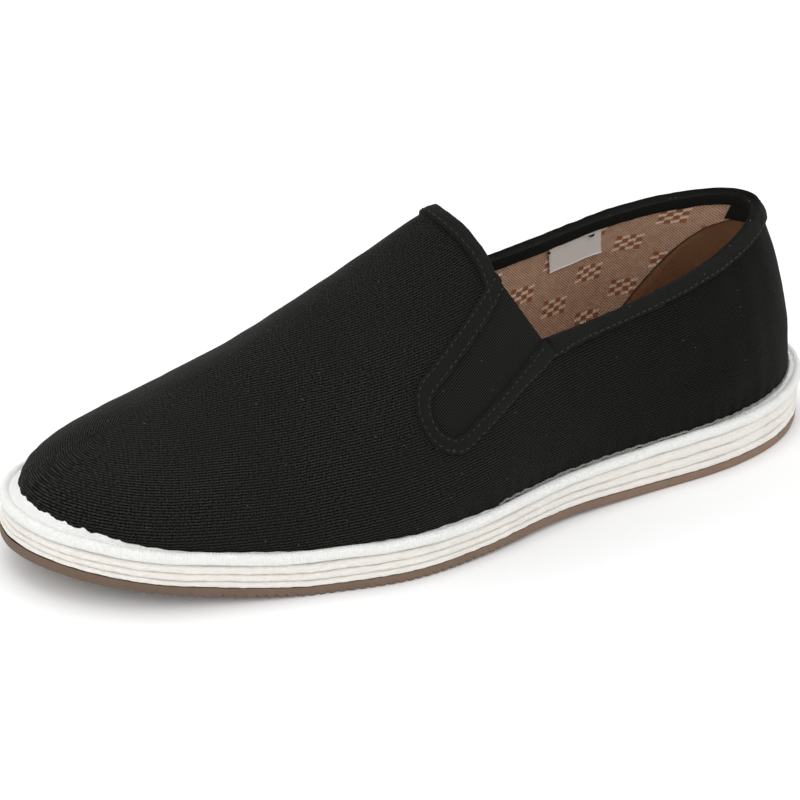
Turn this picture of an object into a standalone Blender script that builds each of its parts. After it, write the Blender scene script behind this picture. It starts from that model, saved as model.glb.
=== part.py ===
"""Chinese cloth shoe for the left foot, standing empty on its sole.

+X runs from heel to toe, +Y to the wearer's left and +Z up. The origin is on the floor,
under the middle of the sole. Sizes are in metres.

Two forms carry everything. The sole's plan and rise give the layers under the foot. The
last is one closed dome over the sole: every point of it has a station along the shoe and a
height from its lower edge to the ridge on top. The upper is that dome with a wall. The
opening and the gussets are cut out of it, and the tapes follow the cut edges.
"""
from collections import namedtuple
from math import pi

import bmesh
import bpy
import numpy as np
from mathutils import Vector

# Sole
SOLE_LENGTH = 0.280
BALL_WIDTH = 0.102
SOLE_THICKNESS = 0.0137
RUBBER_THICKNESS = 0.0030
WELT_THICKNESS = 0.0036
TOE_SPRING = 0.0090
ARCH_RISE = 0.0013
HEEL_BEVEL = 0.0026
LEDGE_WIDTH = 0.0060
LAYER_BULGE = 0.0005
LAYER_STEP = 0.0004
LAYER_BELLY = 0.3
CORD_PROUD = 0.0004
CORD_SHARE = 0.62

# Stations where the sole's flats, arch and toe spring begin and end
HEEL_END = 0.10
ARCH_START = 0.24
ARCH_END = 0.64
BALL_END = 0.745
SPRING_POWER = 1.15

# Tread across the forefoot
TREAD_START = 0.50
TREAD_END = 0.93
TREAD_PITCH = 0.0030
TREAD_DEPTH = 0.0007

# Last and upper
INSTEP_HEIGHT = 0.0870
COLLAR_HEIGHT = 0.0735
COLLAR_BLEND = 0.0200
WALL = 0.0018
LAST_SWELL = 0.0030
RIDGE_LEAN = 0.0060
RIDGE_REAR = -0.0975
RIDGE_FRONT = 0.1100
VAMP_TOP_X = -0.0030

# Gussets, measured in the side view
GORE_FRONT_X = -0.0060
GORE_FRONT_Z = 0.0700
GORE_REAR_X = -0.0200
GORE_REAR_Z = 0.0567
GORE_LENGTH = 0.0448
GORE_TOP_WIDTH = 0.0184
GORE_FOOT_WIDTH = 0.0135
GORE_THICKNESS = 0.0014
GORE_LEAN = 0.295

# Tapes
TAPE_THICKNESS = 0.0009
COLLAR_TAPE_WIDTH = 0.0046
VAMP_TAPE_WIDTH = 0.0052
INNER_TAPE_WIDTH = 0.0058
GORE_TAPE_WIDTH = 0.0045
GORE_TAPE_LAP = 0.0010
GORE_TAPE_START = 0.090
GORE_TAPE_END = 0.925

# Inside
INSOLE_THICKNESS = 0.0040
INSOLE_EASE = 0.0012
LABEL_LENGTH = 0.0220
LABEL_HEIGHT = 0.0105
LABEL_THICKNESS = 0.0004
LABEL_X = -0.0700

# Fits
CLEARANCE = 0.0003
SIDE_FIT = 0.0006
TAPE_FIT = 0.0004

# Mesh density
LAST_STATIONS = 34
LAST_ROWS = 17
SOLE_STATIONS = 34
END_SHARE = 0.3
RIDGE_EDGE = 0.985

# Plan of the sole: station from heel to toe, half widths as shares of the ball width
PlanRow = namedtuple("PlanRow", "station lateral medial")
PLAN = [
    PlanRow(0.00, 0.600, 0.580),
    PlanRow(0.06, 0.563, 0.547),
    PlanRow(0.16, 0.511, 0.486),
    PlanRow(0.30, 0.447, 0.360),
    PlanRow(0.42, 0.450, 0.305),
    PlanRow(0.54, 0.518, 0.360),
    PlanRow(0.64, 0.560, 0.464),
    PlanRow(0.74, 0.558, 0.545),
    PlanRow(0.84, 0.575, 0.566),
    PlanRow(0.93, 0.615, 0.572),
    PlanRow(1.00, 0.610, 0.610),
]

# Sole thickness as shares of its thickness at the ball, ledge as shares of its toe width
SoleRow = namedtuple("SoleRow", "station thickness ledge")
SOLE = [
    SoleRow(0.00, 1.22, 0.82),
    SoleRow(0.25, 1.18, 0.45),
    SoleRow(0.48, 0.97, 0.48),
    SoleRow(0.70, 1.00, 0.42),
    SoleRow(0.90, 0.94, 0.60),
    SoleRow(1.00, 0.90, 1.00),
]

# The last: ridge height as shares of the instep height, ridge lean as shares of its named
# lean, swell of the side as shares of its named swell. Rise and shoulder are pure ratios.
LastRow = namedtuple("LastRow", "station ridge lean swell rise shoulder")
LAST = [
    LastRow(0.00, 1.100, 1.00, -0.45, 0.47, 0.42),
    LastRow(0.15, 1.070, 1.05, 0.10, 0.53, 0.20),
    LastRow(0.30, 1.010, 1.08, 0.60, 0.51, 0.25),
    LastRow(0.46, 1.000, 0.85, 0.95, 0.47, 0.41),
    LastRow(0.54, 0.912, 0.70, 0.95, 0.45, 0.42),
    LastRow(0.62, 0.810, 0.55, 0.85, 0.41, 0.37),
    LastRow(0.72, 0.688, 0.50, 0.70, 0.36, 0.29),
    LastRow(0.80, 0.598, 0.60, 0.65, 0.34, 0.27),
    LastRow(0.88, 0.516, 0.75, 0.65, 0.40, 0.36),
    LastRow(0.95, 0.455, 0.85, 0.70, 0.47, 0.46),
    LastRow(1.00, 0.410, 0.90, 0.70, 0.53, 0.52),
]

# Collar line behind the gusset, a little lower on the lateral side: station along the
# sole, heights as shares of its height at the heel
CollarRow = namedtuple("CollarRow", "station lateral medial")
COLLAR = [
    CollarRow(0.000, 1.018, 1.018),
    CollarRow(0.060, 0.988, 1.006),
    CollarRow(0.143, 0.916, 0.950),
    CollarRow(0.232, 0.852, 0.880),
    CollarRow(0.343, 0.788, 0.808),
]

# One rib of the tread: places along its pitch, cut as shares of the tread's depth
TreadRow = namedtuple("TreadRow", "phase cut")
TREAD = [
    TreadRow(0.00, 0.0),
    TreadRow(0.15, 1.0),
    TreadRow(0.40, 1.0),
    TreadRow(0.55, 0.0),
]

# The three cloth layers between rubber and welt: share of the stack, steps out of the welt
LayerRow = namedtuple("LayerRow", "name share steps")
LAYERS = [
    LayerRow("midsole_layer_1", 0.27, 1.0),
    LayerRow("midsole_layer_2", 0.33, 0.5),
    LayerRow("midsole_layer_3", 0.40, 0.0),
]

LATERAL = 1
MEDIAL = -1


def column(rows, name):
    """One named column of a table."""
    return [getattr(row, name) for row in rows]


def curve_through(stations, values, where):
    """Smooth curve through a table's column, read at the places in where."""
    stations = np.asarray(stations, float)
    values = np.asarray(values, float)
    where = np.clip(np.asarray(where, float), stations[0], stations[-1])
    slopes = np.gradient(values, stations)
    row = np.clip(np.searchsorted(stations, where) - 1, 0, len(stations) - 2)
    span = stations[row + 1] - stations[row]
    t = (where - stations[row]) / span
    return (
        (2 * t**3 - 3 * t**2 + 1) * values[row]
        + (t**3 - 2 * t**2 + t) * span * slopes[row]
        + (3 * t**2 - 2 * t**3) * values[row + 1]
        + (t**3 - t**2) * span * slopes[row + 1]
    )


def read(rows, name, where):
    return curve_through(column(rows, "station"), column(rows, name), where)


def share_of(turn):
    """Share of the length at a turn: 0 at the heel, 1 at the toe, dense at both ends."""
    return (1 - np.cos(pi * turn)) / 2


def turns(count):
    return np.linspace(0.0, 1.0, count)


def sole_turns():
    """Turns of the sole's sections, with a narrow first and last one."""
    turn = turns(SOLE_STATIONS)
    turn[0] = END_SHARE * turn[1]
    turn[-1] = 1 - turn[0]
    return turn


# Sole functions


def plan_width(side, turn):
    """Distance from the heel's middle line to the sole's edge."""
    share = read(PLAN, "lateral" if side > 0 else "medial", share_of(turn))
    return share * BALL_WIDTH * np.sin(pi * turn)


# The heel's middle line lies a little to one side of the middle of the whole plan
HEEL_LINE = (plan_width(MEDIAL, turns(200)).max() - plan_width(LATERAL, turns(200)).max()) / 2


def plan_edge(side, turn):
    """Edge of the sole in plan, an array of x and y."""
    turn = np.asarray(turn, float)
    x = SOLE_LENGTH * (share_of(turn) - 0.5)
    return np.stack([x, HEEL_LINE + side * plan_width(side, turn)], -1)


def plan_outward(side, turn):
    """Unit vector in plan that points out of the sole."""
    step = 1e-4
    along = plan_edge(side, turn + step) - plan_edge(side, turn - step)
    out = np.stack([-along[..., 1], along[..., 0]], -1) * side
    return out / np.linalg.norm(out, axis=-1, keepdims=True)


def sole_rise(x):
    """Height of the sole's underside: flat under heel and ball, sprung at the toe."""
    station = x / SOLE_LENGTH + 0.5
    bevel = np.clip(1 - station / HEEL_END, 0, 1) ** 2
    arch = np.clip((station - ARCH_START) / (ARCH_END - ARCH_START), 0, 1)
    spring = np.clip((station - BALL_END) / (1 - BALL_END), 0, 1) ** SPRING_POWER
    return HEEL_BEVEL * bevel + ARCH_RISE * np.sin(pi * arch) ** 2 + TOE_SPRING * spring


def sole_top(x):
    """Height of the sole's upper face, under the upper's lower edge."""
    return sole_rise(x) + SOLE_THICKNESS * read(SOLE, "thickness", x / SOLE_LENGTH + 0.5)


def stack_height(x):
    """Room between the rubber and the welt."""
    return sole_top(x) - WELT_THICKNESS - sole_rise(x) - RUBBER_THICKNESS


# Last functions


def feather_edge(side, turn):
    """Lower edge of the last, on the ledge of the welt."""
    ledge = LEDGE_WIDTH * read(SOLE, "ledge", share_of(turn))
    edge = plan_edge(side, turn) - plan_outward(side, turn) * ledge[..., None]
    return np.concatenate([edge, (sole_top(edge[..., 0]) + CLEARANCE)[..., None]], -1)


def ridge_slope(station):
    """Fall or climb of the ridge along x."""
    step = 0.01
    middle = np.clip(station, step, 1 - step)
    climb = read(LAST, "ridge", middle + step) - read(LAST, "ridge", middle - step)
    return climb * INSTEP_HEIGHT / (2 * step * (RIDGE_FRONT - RIDGE_REAR))


def last(side, turn, rise):
    """Point of the last: turn from heel to toe, rise 0 at the sole and 1 on the ridge."""
    turn, rise = np.broadcast_arrays(np.asarray(turn, float), np.asarray(rise, float))
    station = share_of(turn)
    foot = feather_edge(side, turn)
    out = np.concatenate([plan_outward(side, turn), 0 * foot[..., :1]], -1)
    ridge = np.stack(
        [
            RIDGE_REAR + (RIDGE_FRONT - RIDGE_REAR) * station,
            HEEL_LINE - RIDGE_LEAN * read(LAST, "lean", station),
            INSTEP_HEIGHT * read(LAST, "ridge", station),
        ],
        -1,
    )
    up = np.zeros_like(foot)
    up[..., 2] = (ridge[..., 2] - foot[..., 2]) * read(LAST, "rise", station)
    side_hold = foot + out * (LAST_SWELL * read(LAST, "swell", station))[..., None] + up
    level = (foot - ridge) * read(LAST, "shoulder", station)[..., None]
    level[..., 2] = level[..., 0] * ridge_slope(station)
    top_hold = ridge + level
    v = rise[..., None]
    return (
        (1 - v) ** 3 * foot
        + 3 * (1 - v) ** 2 * v * side_hold
        + 3 * (1 - v) * v**2 * top_hold
        + v**3 * ridge
    )


def last_frame(side, turn, rise):
    """Point, outward normal, and the last's slopes along turn and rise."""
    turn, rise = np.broadcast_arrays(np.asarray(turn, float), np.asarray(rise, float))
    step = 1e-4
    below_ridge = np.minimum(rise, RIDGE_EDGE)
    along = last(side, turn + step, below_ridge) - last(side, turn - step, below_ridge)
    along = along / (2 * step)
    climb = last(side, turn, below_ridge + step) - last(side, turn, below_ridge - step)
    climb = climb / (2 * step)
    normal = np.cross(climb, along) * side
    normal = normal / np.linalg.norm(normal, axis=-1, keepdims=True)
    return last(side, turn, rise), normal, along, climb


def offset_last(side, turn, rise, distance):
    """Point at a distance outside the last, or inside it where distance is negative."""
    point, normal, _, _ = last_frame(side, turn, rise)
    return point + normal * np.asarray(distance, float)[..., None]


# The opening's side profile


def collar_line(x, y):
    """Height of the collar's edge from the heel to the gusset's rear corner."""
    rows_x = [SOLE_LENGTH * (row.station - 0.5) for row in COLLAR] + [GORE_REAR_X]
    heights = []
    for name in ("lateral", "medial"):
        rows_z = [COLLAR_HEIGHT * share for share in column(COLLAR, name)] + [GORE_REAR_Z]
        heights.append(curve_through(rows_x, rows_z, x))
    share = np.clip((y - HEEL_LINE) / COLLAR_BLEND, -1, 1)
    return (heights[0] + heights[1]) / 2 + (heights[0] - heights[1]) / 2 * share


def vamp_line(z):
    """Place of the vamp's top edge at a height above the gusset's front corner."""
    climb = (z - GORE_FRONT_Z) / (INSTEP_HEIGHT - GORE_FRONT_Z)
    return GORE_FRONT_X + (VAMP_TOP_X - GORE_FRONT_X) * climb


def solve(check, low, high, count=40):
    """Bisection, element by element, to the first place where check turns true."""
    for _ in range(count):
        middle = (low + high) / 2
        beyond = check(middle)
        high = np.where(beyond, middle, high)
        low = np.where(beyond, low, middle)
    return (low + high) / 2


def collar_rise(side, turn):
    """Rise at which the last meets the collar line, for turns behind the gusset."""

    def above(rise):
        point = last(side, turn, rise)
        return point[..., 2] > collar_line(point[..., 0], point[..., 1])

    return solve(above, np.zeros_like(turn), np.ones_like(turn))


def on_wall(side, x, z):
    """Turn and rise of the point of the side wall seen at x and z in the side view."""
    x, z = np.broadcast_arrays(np.asarray(x, float), np.asarray(z, float))
    turn = np.full(x.shape, 0.5)
    rise = np.full(x.shape, 0.5)
    for _ in range(12):
        turn = solve(lambda t: last(side, t, rise)[..., 0] > x, 0 * x, 0 * x + 1, 24)
        rise = solve(lambda v: last(side, turn, v)[..., 2] > z, 0 * x, 0 * x + 1, 24)
    return turn, rise


# Mesh helpers


def make_object(name, verts, faces, material):
    """Closed solid from points and faces, with its faces turned out."""
    mesh = bpy.data.meshes.new(name)
    body = bmesh.new()
    points = [body.verts.new(Vector(v)) for v in verts]
    for face in faces:
        body.faces.new([points[i] for i in face])
    bmesh.ops.recalc_face_normals(body, faces=body.faces)
    body.to_mesh(mesh)
    body.free()
    mesh.materials.append(material)
    mesh.shade_smooth()
    mesh.set_sharp_from_angle(angle=0.7)
    thing = bpy.data.objects.new(name, mesh)
    bpy.context.collection.objects.link(thing)
    return thing


def swept(sections, closed_path=False):
    """Verts and faces of a body swept through sections of equal point counts."""
    count = len(sections)
    around = len(sections[0])
    verts = [point for section in sections for point in section]
    faces = []
    for i in range(count if closed_path else count - 1):
        here, there = i * around, ((i + 1) % count) * around
        for j in range(around):
            k = (j + 1) % around
            faces.append((here + j, there + j, there + k, here + k))
    if not closed_path:
        faces.append(tuple(range(around))[::-1])
        faces.append(tuple((count - 1) * around + j for j in range(around)))
    return verts, faces


def sheet(outer, inner):
    """Verts and faces of a thin body between two grids of points of one shape."""
    rows, columns = outer.shape[:2]
    verts = [tuple(p) for p in outer.reshape(-1, 3)] + [tuple(p) for p in inner.reshape(-1, 3)]
    back = rows * columns

    def at(i, j):
        return i * columns + j

    faces = []
    for i in range(rows - 1):
        for j in range(columns - 1):
            quad = (at(i, j), at(i + 1, j), at(i + 1, j + 1), at(i, j + 1))
            faces.append(quad)
            faces.append(tuple(back + n for n in quad[::-1]))
    rim = [at(i, 0) for i in range(rows)]
    rim += [at(rows - 1, j) for j in range(1, columns)]
    rim += [at(i, columns - 1) for i in range(rows - 2, -1, -1)]
    rim += [at(0, j) for j in range(columns - 2, 0, -1)]
    for a, b in zip(rim, rim[1:] + rim[:1]):
        faces.append((b, a, back + a, back + b))
    return verts, faces


def cloth(name, colour, roughness):
    material = bpy.data.materials.new(name)
    material.use_nodes = True
    shader = material.node_tree.nodes["Principled BSDF"]
    shader.inputs["Base Color"].default_value = (*colour, 1)
    shader.inputs["Roughness"].default_value = roughness
    shader.inputs["Metallic"].default_value = 0
    return material


def add_cutter(body, cutter):
    """Cuts one object out of another."""
    cutter.hide_render = True
    cutter.display_type = "WIRE"
    cut = body.modifiers.new("cut", "BOOLEAN")
    cut.operation = "DIFFERENCE"
    cut.object = cutter


# Sole pieces


def sole_outline(inset, extra_stations=()):
    """Matching edge points of both sides, from heel to toe, inset all round."""
    stations = sorted(set(share_of(sole_turns())) | set(extra_stations))
    turn = np.arccos(1 - 2 * np.array(stations)) / pi
    pair = []
    for side in (LATERAL, MEDIAL):
        pair.append(plan_edge(side, turn) - plan_outward(side, turn) * inset)
    middle = (pair[0] + pair[1]) / 2
    for edge in pair:
        edge[:, 0] = middle[:, 0]
    return pair[0], pair[1]


def plate(name, inset, low, high, material, bulge=0.0, extra_stations=()):
    """Flat layer of the sole between two height functions of x, with a rounded side."""
    lateral, medial = sole_outline(inset, extra_stations)
    core_lateral, core_medial = sole_outline(inset + bulge, extra_stations)
    sections = []
    for i in range(len(lateral)):
        x = lateral[i, 0]
        bottom, top = low(x), high(x)
        belly = (top - bottom) * LAYER_BELLY if bulge else 0.0
        section = []
        if bulge:
            section += [(core_lateral[i, 0], core_lateral[i, 1], bottom)]
        section += [(x, lateral[i, 1], bottom + belly), (x, lateral[i, 1], top - belly)]
        if bulge:
            section += [(core_lateral[i, 0], core_lateral[i, 1], top)]
            section += [(core_medial[i, 0], core_medial[i, 1], top)]
        section += [(x, medial[i, 1], top - belly), (x, medial[i, 1], bottom + belly)]
        if bulge:
            section += [(core_medial[i, 0], core_medial[i, 1], bottom)]
        sections.append(section)
    verts, faces = swept(sections)
    return make_object(name, verts, faces, material)


def tread_stations():
    """Stations of the ribs across the forefoot, four to a rib."""
    pitch = TREAD_PITCH / SOLE_LENGTH
    ribs = int((TREAD_END - TREAD_START) / pitch)
    return [TREAD_START + (rib + row.phase) * pitch for rib in range(ribs) for row in TREAD]


def tread_cut(x):
    """Depth cut into the underside between the ribs."""
    stations = tread_stations()
    station = x / SOLE_LENGTH + 0.5
    if not stations[0] <= station <= stations[-1]:
        return 0.0
    phase = (station - stations[0]) * SOLE_LENGTH / TREAD_PITCH % 1.0
    return TREAD_DEPTH * float(np.interp(phase, column(TREAD, "phase"), column(TREAD, "cut")))


def make_outsole(material):
    return plate(
        "outsole",
        LAYER_STEP,
        lambda x: sole_rise(x) + tread_cut(x),
        lambda x: sole_rise(x) + RUBBER_THICKNESS,
        material,
        extra_stations=tread_stations(),
    )


def make_layers(material):
    """Three cloth layers, each stepping out a little more towards the floor."""
    below = 0.0
    for row in LAYERS:
        low_share, high_share = below, below + row.share
        below = high_share
        plate(
            row.name,
            LAYER_STEP * (1 - row.steps),
            lambda x, s=low_share: sole_rise(x) + RUBBER_THICKNESS + CLEARANCE + s * stack_height(x),
            lambda x, s=high_share: sole_rise(x) + RUBBER_THICKNESS + s * stack_height(x),
            material,
            bulge=LAYER_BULGE,
        )


def make_welt(material):
    """Top layer with the round cord of its rim and the ledge that carries the upper."""
    cord = WELT_THICKNESS - CLEARANCE
    angles = np.linspace(-pi / 2, pi / 2, 6)
    turn = sole_turns()
    sections = []
    for i in range(SOLE_STATIONS):
        section = []
        for side in (LATERAL, MEDIAL):
            edge = plan_edge(side, turn[i])
            out = plan_outward(side, turn[i])
            low = sole_top(edge[0]) - WELT_THICKNESS + CLEARANCE
            half = []
            for angle in angles:
                place = edge + out * (cord / 2 * (np.cos(angle) - 1))
                height = low + (cord + CORD_PROUD) / 2 * (1 + np.sin(angle))
                half.append((place[0], place[1], height))
            foot = edge - out * (cord * CORD_SHARE)
            half.append((foot[0], foot[1], sole_top(foot[0])))
            section += half if side > 0 else half[::-1]
        sections.append(section)
    verts, faces = swept(sections)
    return make_object("welt", verts, faces, material)


def make_insole(material):
    """Sock inside the upper, on the welt."""
    inset = WALL + SIDE_FIT
    turn = sole_turns()
    sections = []
    for i in range(SOLE_STATIONS):
        section = []
        for side in (LATERAL, MEDIAL):
            foot = feather_edge(side, turn[i])
            out = plan_outward(side, turn[i])
            place = foot[:2] - out * inset
            brow = place - out * INSOLE_EASE
            low = sole_top(place[0]) + CLEARANCE
            high = low + INSOLE_THICKNESS
            half = [(place[0], place[1], low), (place[0], place[1], (low + high) / 2)]
            half += [(brow[0], brow[1], high)]
            section += half if side > 0 else half[::-1]
        sections.append(section)
    verts, faces = swept(sections)
    return make_object("insole", verts, faces, material)


# Upper


def last_ring(distance):
    """Grid of the whole last at a distance: turns round the shoe, rows up to the ridge."""
    turn = turns(LAST_STATIONS)
    rise = np.linspace(0, 1, LAST_ROWS)
    grid_turn, grid_rise = np.meshgrid(turn, rise, indexing="ij")
    away = np.full(grid_turn.shape, float(distance))
    lateral = offset_last(LATERAL, grid_turn, grid_rise, away)
    medial = offset_last(MEDIAL, grid_turn, grid_rise, away)
    ridge = (lateral[:, -1] + medial[:, -1]) / 2
    ends = (lateral[[0, -1]] + medial[[0, -1]]) / 2
    lateral[[0, -1]] = ends
    lateral[:, -1] = ridge
    medial[:, -1] = ridge
    floor = feather_edge(LATERAL, turn)[:, 2]
    lateral[:, 0, 2] = floor
    medial[:, 0, 2] = feather_edge(MEDIAL, turn)[:, 2]
    return lateral, medial


def dome(verts, lateral, medial):
    """Adds one skin of the last and returns its faces and its lower ring of points."""
    stations, rows = lateral.shape[:2]
    loop = [("lateral", i) for i in range(stations)]
    loop += [("medial", i) for i in range(stations - 2, 0, -1)]
    index = {}
    for key in loop:
        grid = lateral if key[0] == "lateral" else medial
        for j in range(rows - 1):
            index[key, j] = len(verts)
            verts.append(tuple(grid[key[1], j]))
    ridge = {}
    for i in range(stations):
        ridge[i] = len(verts)
        verts.append(tuple(lateral[i, rows - 1]))

    def at(key, j):
        return ridge[key[1]] if j == rows - 1 else index[key, j]

    faces = []
    for key, after in zip(loop, loop[1:] + loop[:1]):
        for j in range(rows - 1):
            faces.append((at(key, j), at(after, j), at(after, j + 1), at(key, j + 1)))
    return faces, [index[key, 0] for key in loop]


def make_upper(material):
    """Hollow cloth shell on the last, open below, at the throat and at the gussets."""
    verts = []
    outer_faces, outer_ring = dome(verts, *last_ring(0))
    inner_faces, inner_ring = dome(verts, *last_ring(-WALL))
    faces = outer_faces + [face[::-1] for face in inner_faces]
    for i in range(len(outer_ring)):
        k = (i + 1) % len(outer_ring)
        faces.append((outer_ring[k], outer_ring[i], inner_ring[i], inner_ring[k]))
    upper = make_object("upper", verts, faces, material)
    add_cutter(upper, make_opening_cutter(material))
    for side, word in ((LATERAL, "lateral"), (MEDIAL, "medial")):
        add_cutter(upper, make_gore_cutter(side, "gore_cutter_" + word, material))
    return upper


def make_opening_cutter(material):
    """Block over the opening, whose lower face has the shoe's side profile."""
    far = SOLE_LENGTH
    above = INSTEP_HEIGHT * 1.5
    collar_x = np.linspace(-SOLE_LENGTH / 2, GORE_REAR_X, 16)
    blend = [HEEL_LINE - COLLAR_BLEND, HEEL_LINE + COLLAR_BLEND]
    sections = []
    for y in (-BALL_WIDTH, *blend, BALL_WIDTH):
        profile = [(-far, collar_line(collar_x[0], y))]
        profile += list(zip(collar_x, collar_line(collar_x, y)))
        profile += [(GORE_FRONT_X, GORE_FRONT_Z), (vamp_line(above), above), (-far, above)]
        sections.append([(x, y, z) for x, z in profile])
    verts, faces = swept(sections)
    return make_object("opening_cutter", verts, faces, material)


# Gussets


def gore_axis():
    """Middle of the gusset's top edge in the side view, with its length and width ways."""
    rear = np.array([GORE_REAR_X, GORE_REAR_Z])
    front = np.array([GORE_FRONT_X, GORE_FRONT_Z])
    across = (front - rear) / np.linalg.norm(front - rear)
    down = np.array([across[1], -across[0]])
    down = down + across * GORE_LEAN
    down = down / np.linalg.norm(down)
    across = np.array([-down[1], down[0]])
    return (rear + front) / 2, down, across


def gore_outline(path, grow):
    """Edge of the gusset in the side view: path runs down its front, round and up its rear."""
    middle, down, across = gore_axis()
    half_top = GORE_TOP_WIDTH / 2
    half_foot = GORE_FOOT_WIDTH / 2
    straight = GORE_LENGTH - half_foot
    turn_length = pi * half_foot
    total = 2 * straight + turn_length
    gone = np.asarray(path, float) * total
    depth = np.where(gone < straight, gone, total - gone)
    taper = half_top + (half_foot - half_top) * np.clip(depth / straight, 0, 1)
    angle = np.clip((gone - straight) / half_foot, 0, pi)
    on_side = (gone < straight) | (gone > total - straight)
    sideways = np.where(on_side, np.where(gone < straight, 1, -1), np.cos(angle))
    out_down = np.where(on_side, 0, np.sin(angle))
    length = np.where(on_side, depth, straight + half_foot * np.sin(angle))
    width = np.where(on_side, taper, half_foot)
    along = length + out_down * grow
    offset = sideways * (width + grow)
    return middle + along[..., None] * down + offset[..., None] * across


def gore_grid(grow, head, outer, inner, side, rows=12, columns=5):
    """Patch of the wall in the gusset's outline, from head above its top edge to its foot."""
    middle, down, across = gore_axis()
    half_top = GORE_TOP_WIDTH / 2 + grow
    half_foot = GORE_FOOT_WIDTH / 2 + grow
    end = GORE_LENGTH + grow
    bend = end - half_foot
    lengths = list(np.linspace(-head, bend, rows))
    lengths += [bend + half_foot * np.sin(a) for a in np.linspace(0, pi / 2, 6)[1:-1]]
    grid = []
    for length in lengths:
        taper = half_top + (half_foot - half_top) * np.clip(length / bend, 0, 1)
        if length > bend:
            taper = np.sqrt(max(half_foot**2 - (length - bend) ** 2, 0))
        across_places = np.linspace(-taper, taper, columns)
        grid.append([middle + length * down + place * across for place in across_places])
    flat = np.array(grid)
    turn, rise = on_wall(side, flat[..., 0], flat[..., 1])
    outer_grid = offset_last(side, turn, rise, np.full(turn.shape, outer))
    inner_grid = offset_last(side, turn, rise, np.full(turn.shape, inner))
    return sheet(outer_grid, inner_grid)


def make_gore_cutter(side, name, material):
    reach = 2.5 * WALL
    head = GORE_TOP_WIDTH / 2
    verts, faces = gore_grid(0, head, reach, -WALL - reach, side)
    return make_object(name, verts, faces, material)


def make_gore(side, name, material):
    """Elastic gusset, seated in its cut-out."""
    sunk = (WALL - GORE_THICKNESS) / 2
    verts, faces = gore_grid(-CLEARANCE, 0, -sunk, -sunk - GORE_THICKNESS, side)
    return make_object(name, verts, faces, material)


def make_gore_tape(side, name, material):
    """Tape sewn round the gusset, on the outside."""
    path = np.linspace(GORE_TAPE_START, GORE_TAPE_END, 30)
    widths = np.linspace(-GORE_TAPE_LAP, GORE_TAPE_WIDTH - GORE_TAPE_LAP, 4)
    flat = np.stack([gore_outline(path, width) for width in widths], 1)
    turn, rise = on_wall(side, flat[..., 0], flat[..., 1])
    outer = offset_last(side, turn, rise, np.full(turn.shape, CLEARANCE + TAPE_THICKNESS))
    inner = offset_last(side, turn, rise, np.full(turn.shape, CLEARANCE))
    verts, faces = sheet(outer, inner)
    return make_object(name, verts, faces, material)


# Folded tapes on the cut edges


def folded_section(side, turn, rise, way, cut_way, outer_width):
    """Section of a folded tape over the cut edge at one point of it.

    way is the direction in turn and rise that leads from the edge into the cloth, and
    cut_way the direction in space that points out of the cut.
    """
    edge, _, along, climb = last_frame(side, turn, rise)
    speed = np.linalg.norm(along * way[0] + climb * way[1])
    lip = TAPE_FIT + TAPE_THICKNESS

    def on_leg(depth, distance):
        reach = depth / speed
        place = np.clip(rise + way[1] * reach, 0, 1)
        return tuple(offset_last(side, turn + way[0] * reach, place, distance))

    def over_cut(height, distance):
        point, normal, slope_turn, slope_rise = last_frame(side, turn, rise)
        out = -(slope_turn * way[0] + slope_rise * way[1])
        out = out / np.linalg.norm(out)
        point = point + normal * distance
        rest = (np.dot(edge - point, cut_way) + height) / np.dot(out, cut_way)
        return tuple(point + out * rest)

    out_low, out_high = TAPE_FIT, lip
    in_low, in_high = -WALL - TAPE_FIT, -WALL - lip
    return [
        on_leg(outer_width, out_low),
        on_leg(outer_width / 2, out_low),
        over_cut(TAPE_FIT, out_low),
        over_cut(TAPE_FIT, in_low),
        on_leg(INNER_TAPE_WIDTH / 2, in_low),
        on_leg(INNER_TAPE_WIDTH, in_low),
        on_leg(INNER_TAPE_WIDTH, in_high),
        on_leg(INNER_TAPE_WIDTH / 2, in_high),
        over_cut(TAPE_FIT, in_high),
        over_cut(lip, (out_low + in_low) / 2),
        over_cut(TAPE_FIT, out_high),
        on_leg(outer_width / 2, out_high),
        on_leg(outer_width, out_high),
    ]


def make_collar_tape(material):
    """Folded tape from one gusset's rear corner round the heel to the other's."""
    sections = []
    for side in (LATERAL, MEDIAL):
        corner_x = GORE_REAR_X - 2 * CLEARANCE
        corner, _ = on_wall(side, corner_x, collar_line(corner_x, side * BALL_WIDTH))
        turn = np.linspace(0, float(corner), 20)
        rise = collar_rise(side, turn)
        half = [
            folded_section(side, t, r, (0.0, -1.0), (0.0, 0.0, 1.0), COLLAR_TAPE_WIDTH)
            for t, r in zip(turn, rise)
        ]
        sections = half[::-1] if side > 0 else sections + half[1:]
    verts, faces = swept(sections)
    return make_object("collar_tape", verts, faces, material)


def make_vamp_tape(material):
    """Folded tape on the vamp's top edge, from gusset to gusset."""
    climb = np.array([VAMP_TOP_X - GORE_FRONT_X, 0, INSTEP_HEIGHT - GORE_FRONT_Z])
    cut_way = np.array([-climb[2], 0, climb[0]]) / np.linalg.norm(climb)
    sections = []
    for side in (LATERAL, MEDIAL):
        _, foot_rise = on_wall(side, GORE_FRONT_X, GORE_FRONT_Z + 2 * CLEARANCE)
        rows = np.linspace(0, 1, LAST_ROWS)
        rise = np.append(foot_rise, rows[rows > foot_rise + 0.3 / LAST_ROWS])

        def past_edge(turn):
            point = last(side, turn, rise)
            return point[..., 0] > vamp_line(point[..., 2])

        turn = solve(past_edge, 0 * rise + 0.2, 0 * rise + 0.8)
        half = [
            folded_section(side, t, r, (1.0, 0.0), cut_way, VAMP_TAPE_WIDTH)
            for t, r in zip(turn, rise)
        ]
        sections = half if side > 0 else sections + half[-2::-1]
    verts, faces = swept(sections)
    return make_object("vamp_tape", verts, faces, material)


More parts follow.
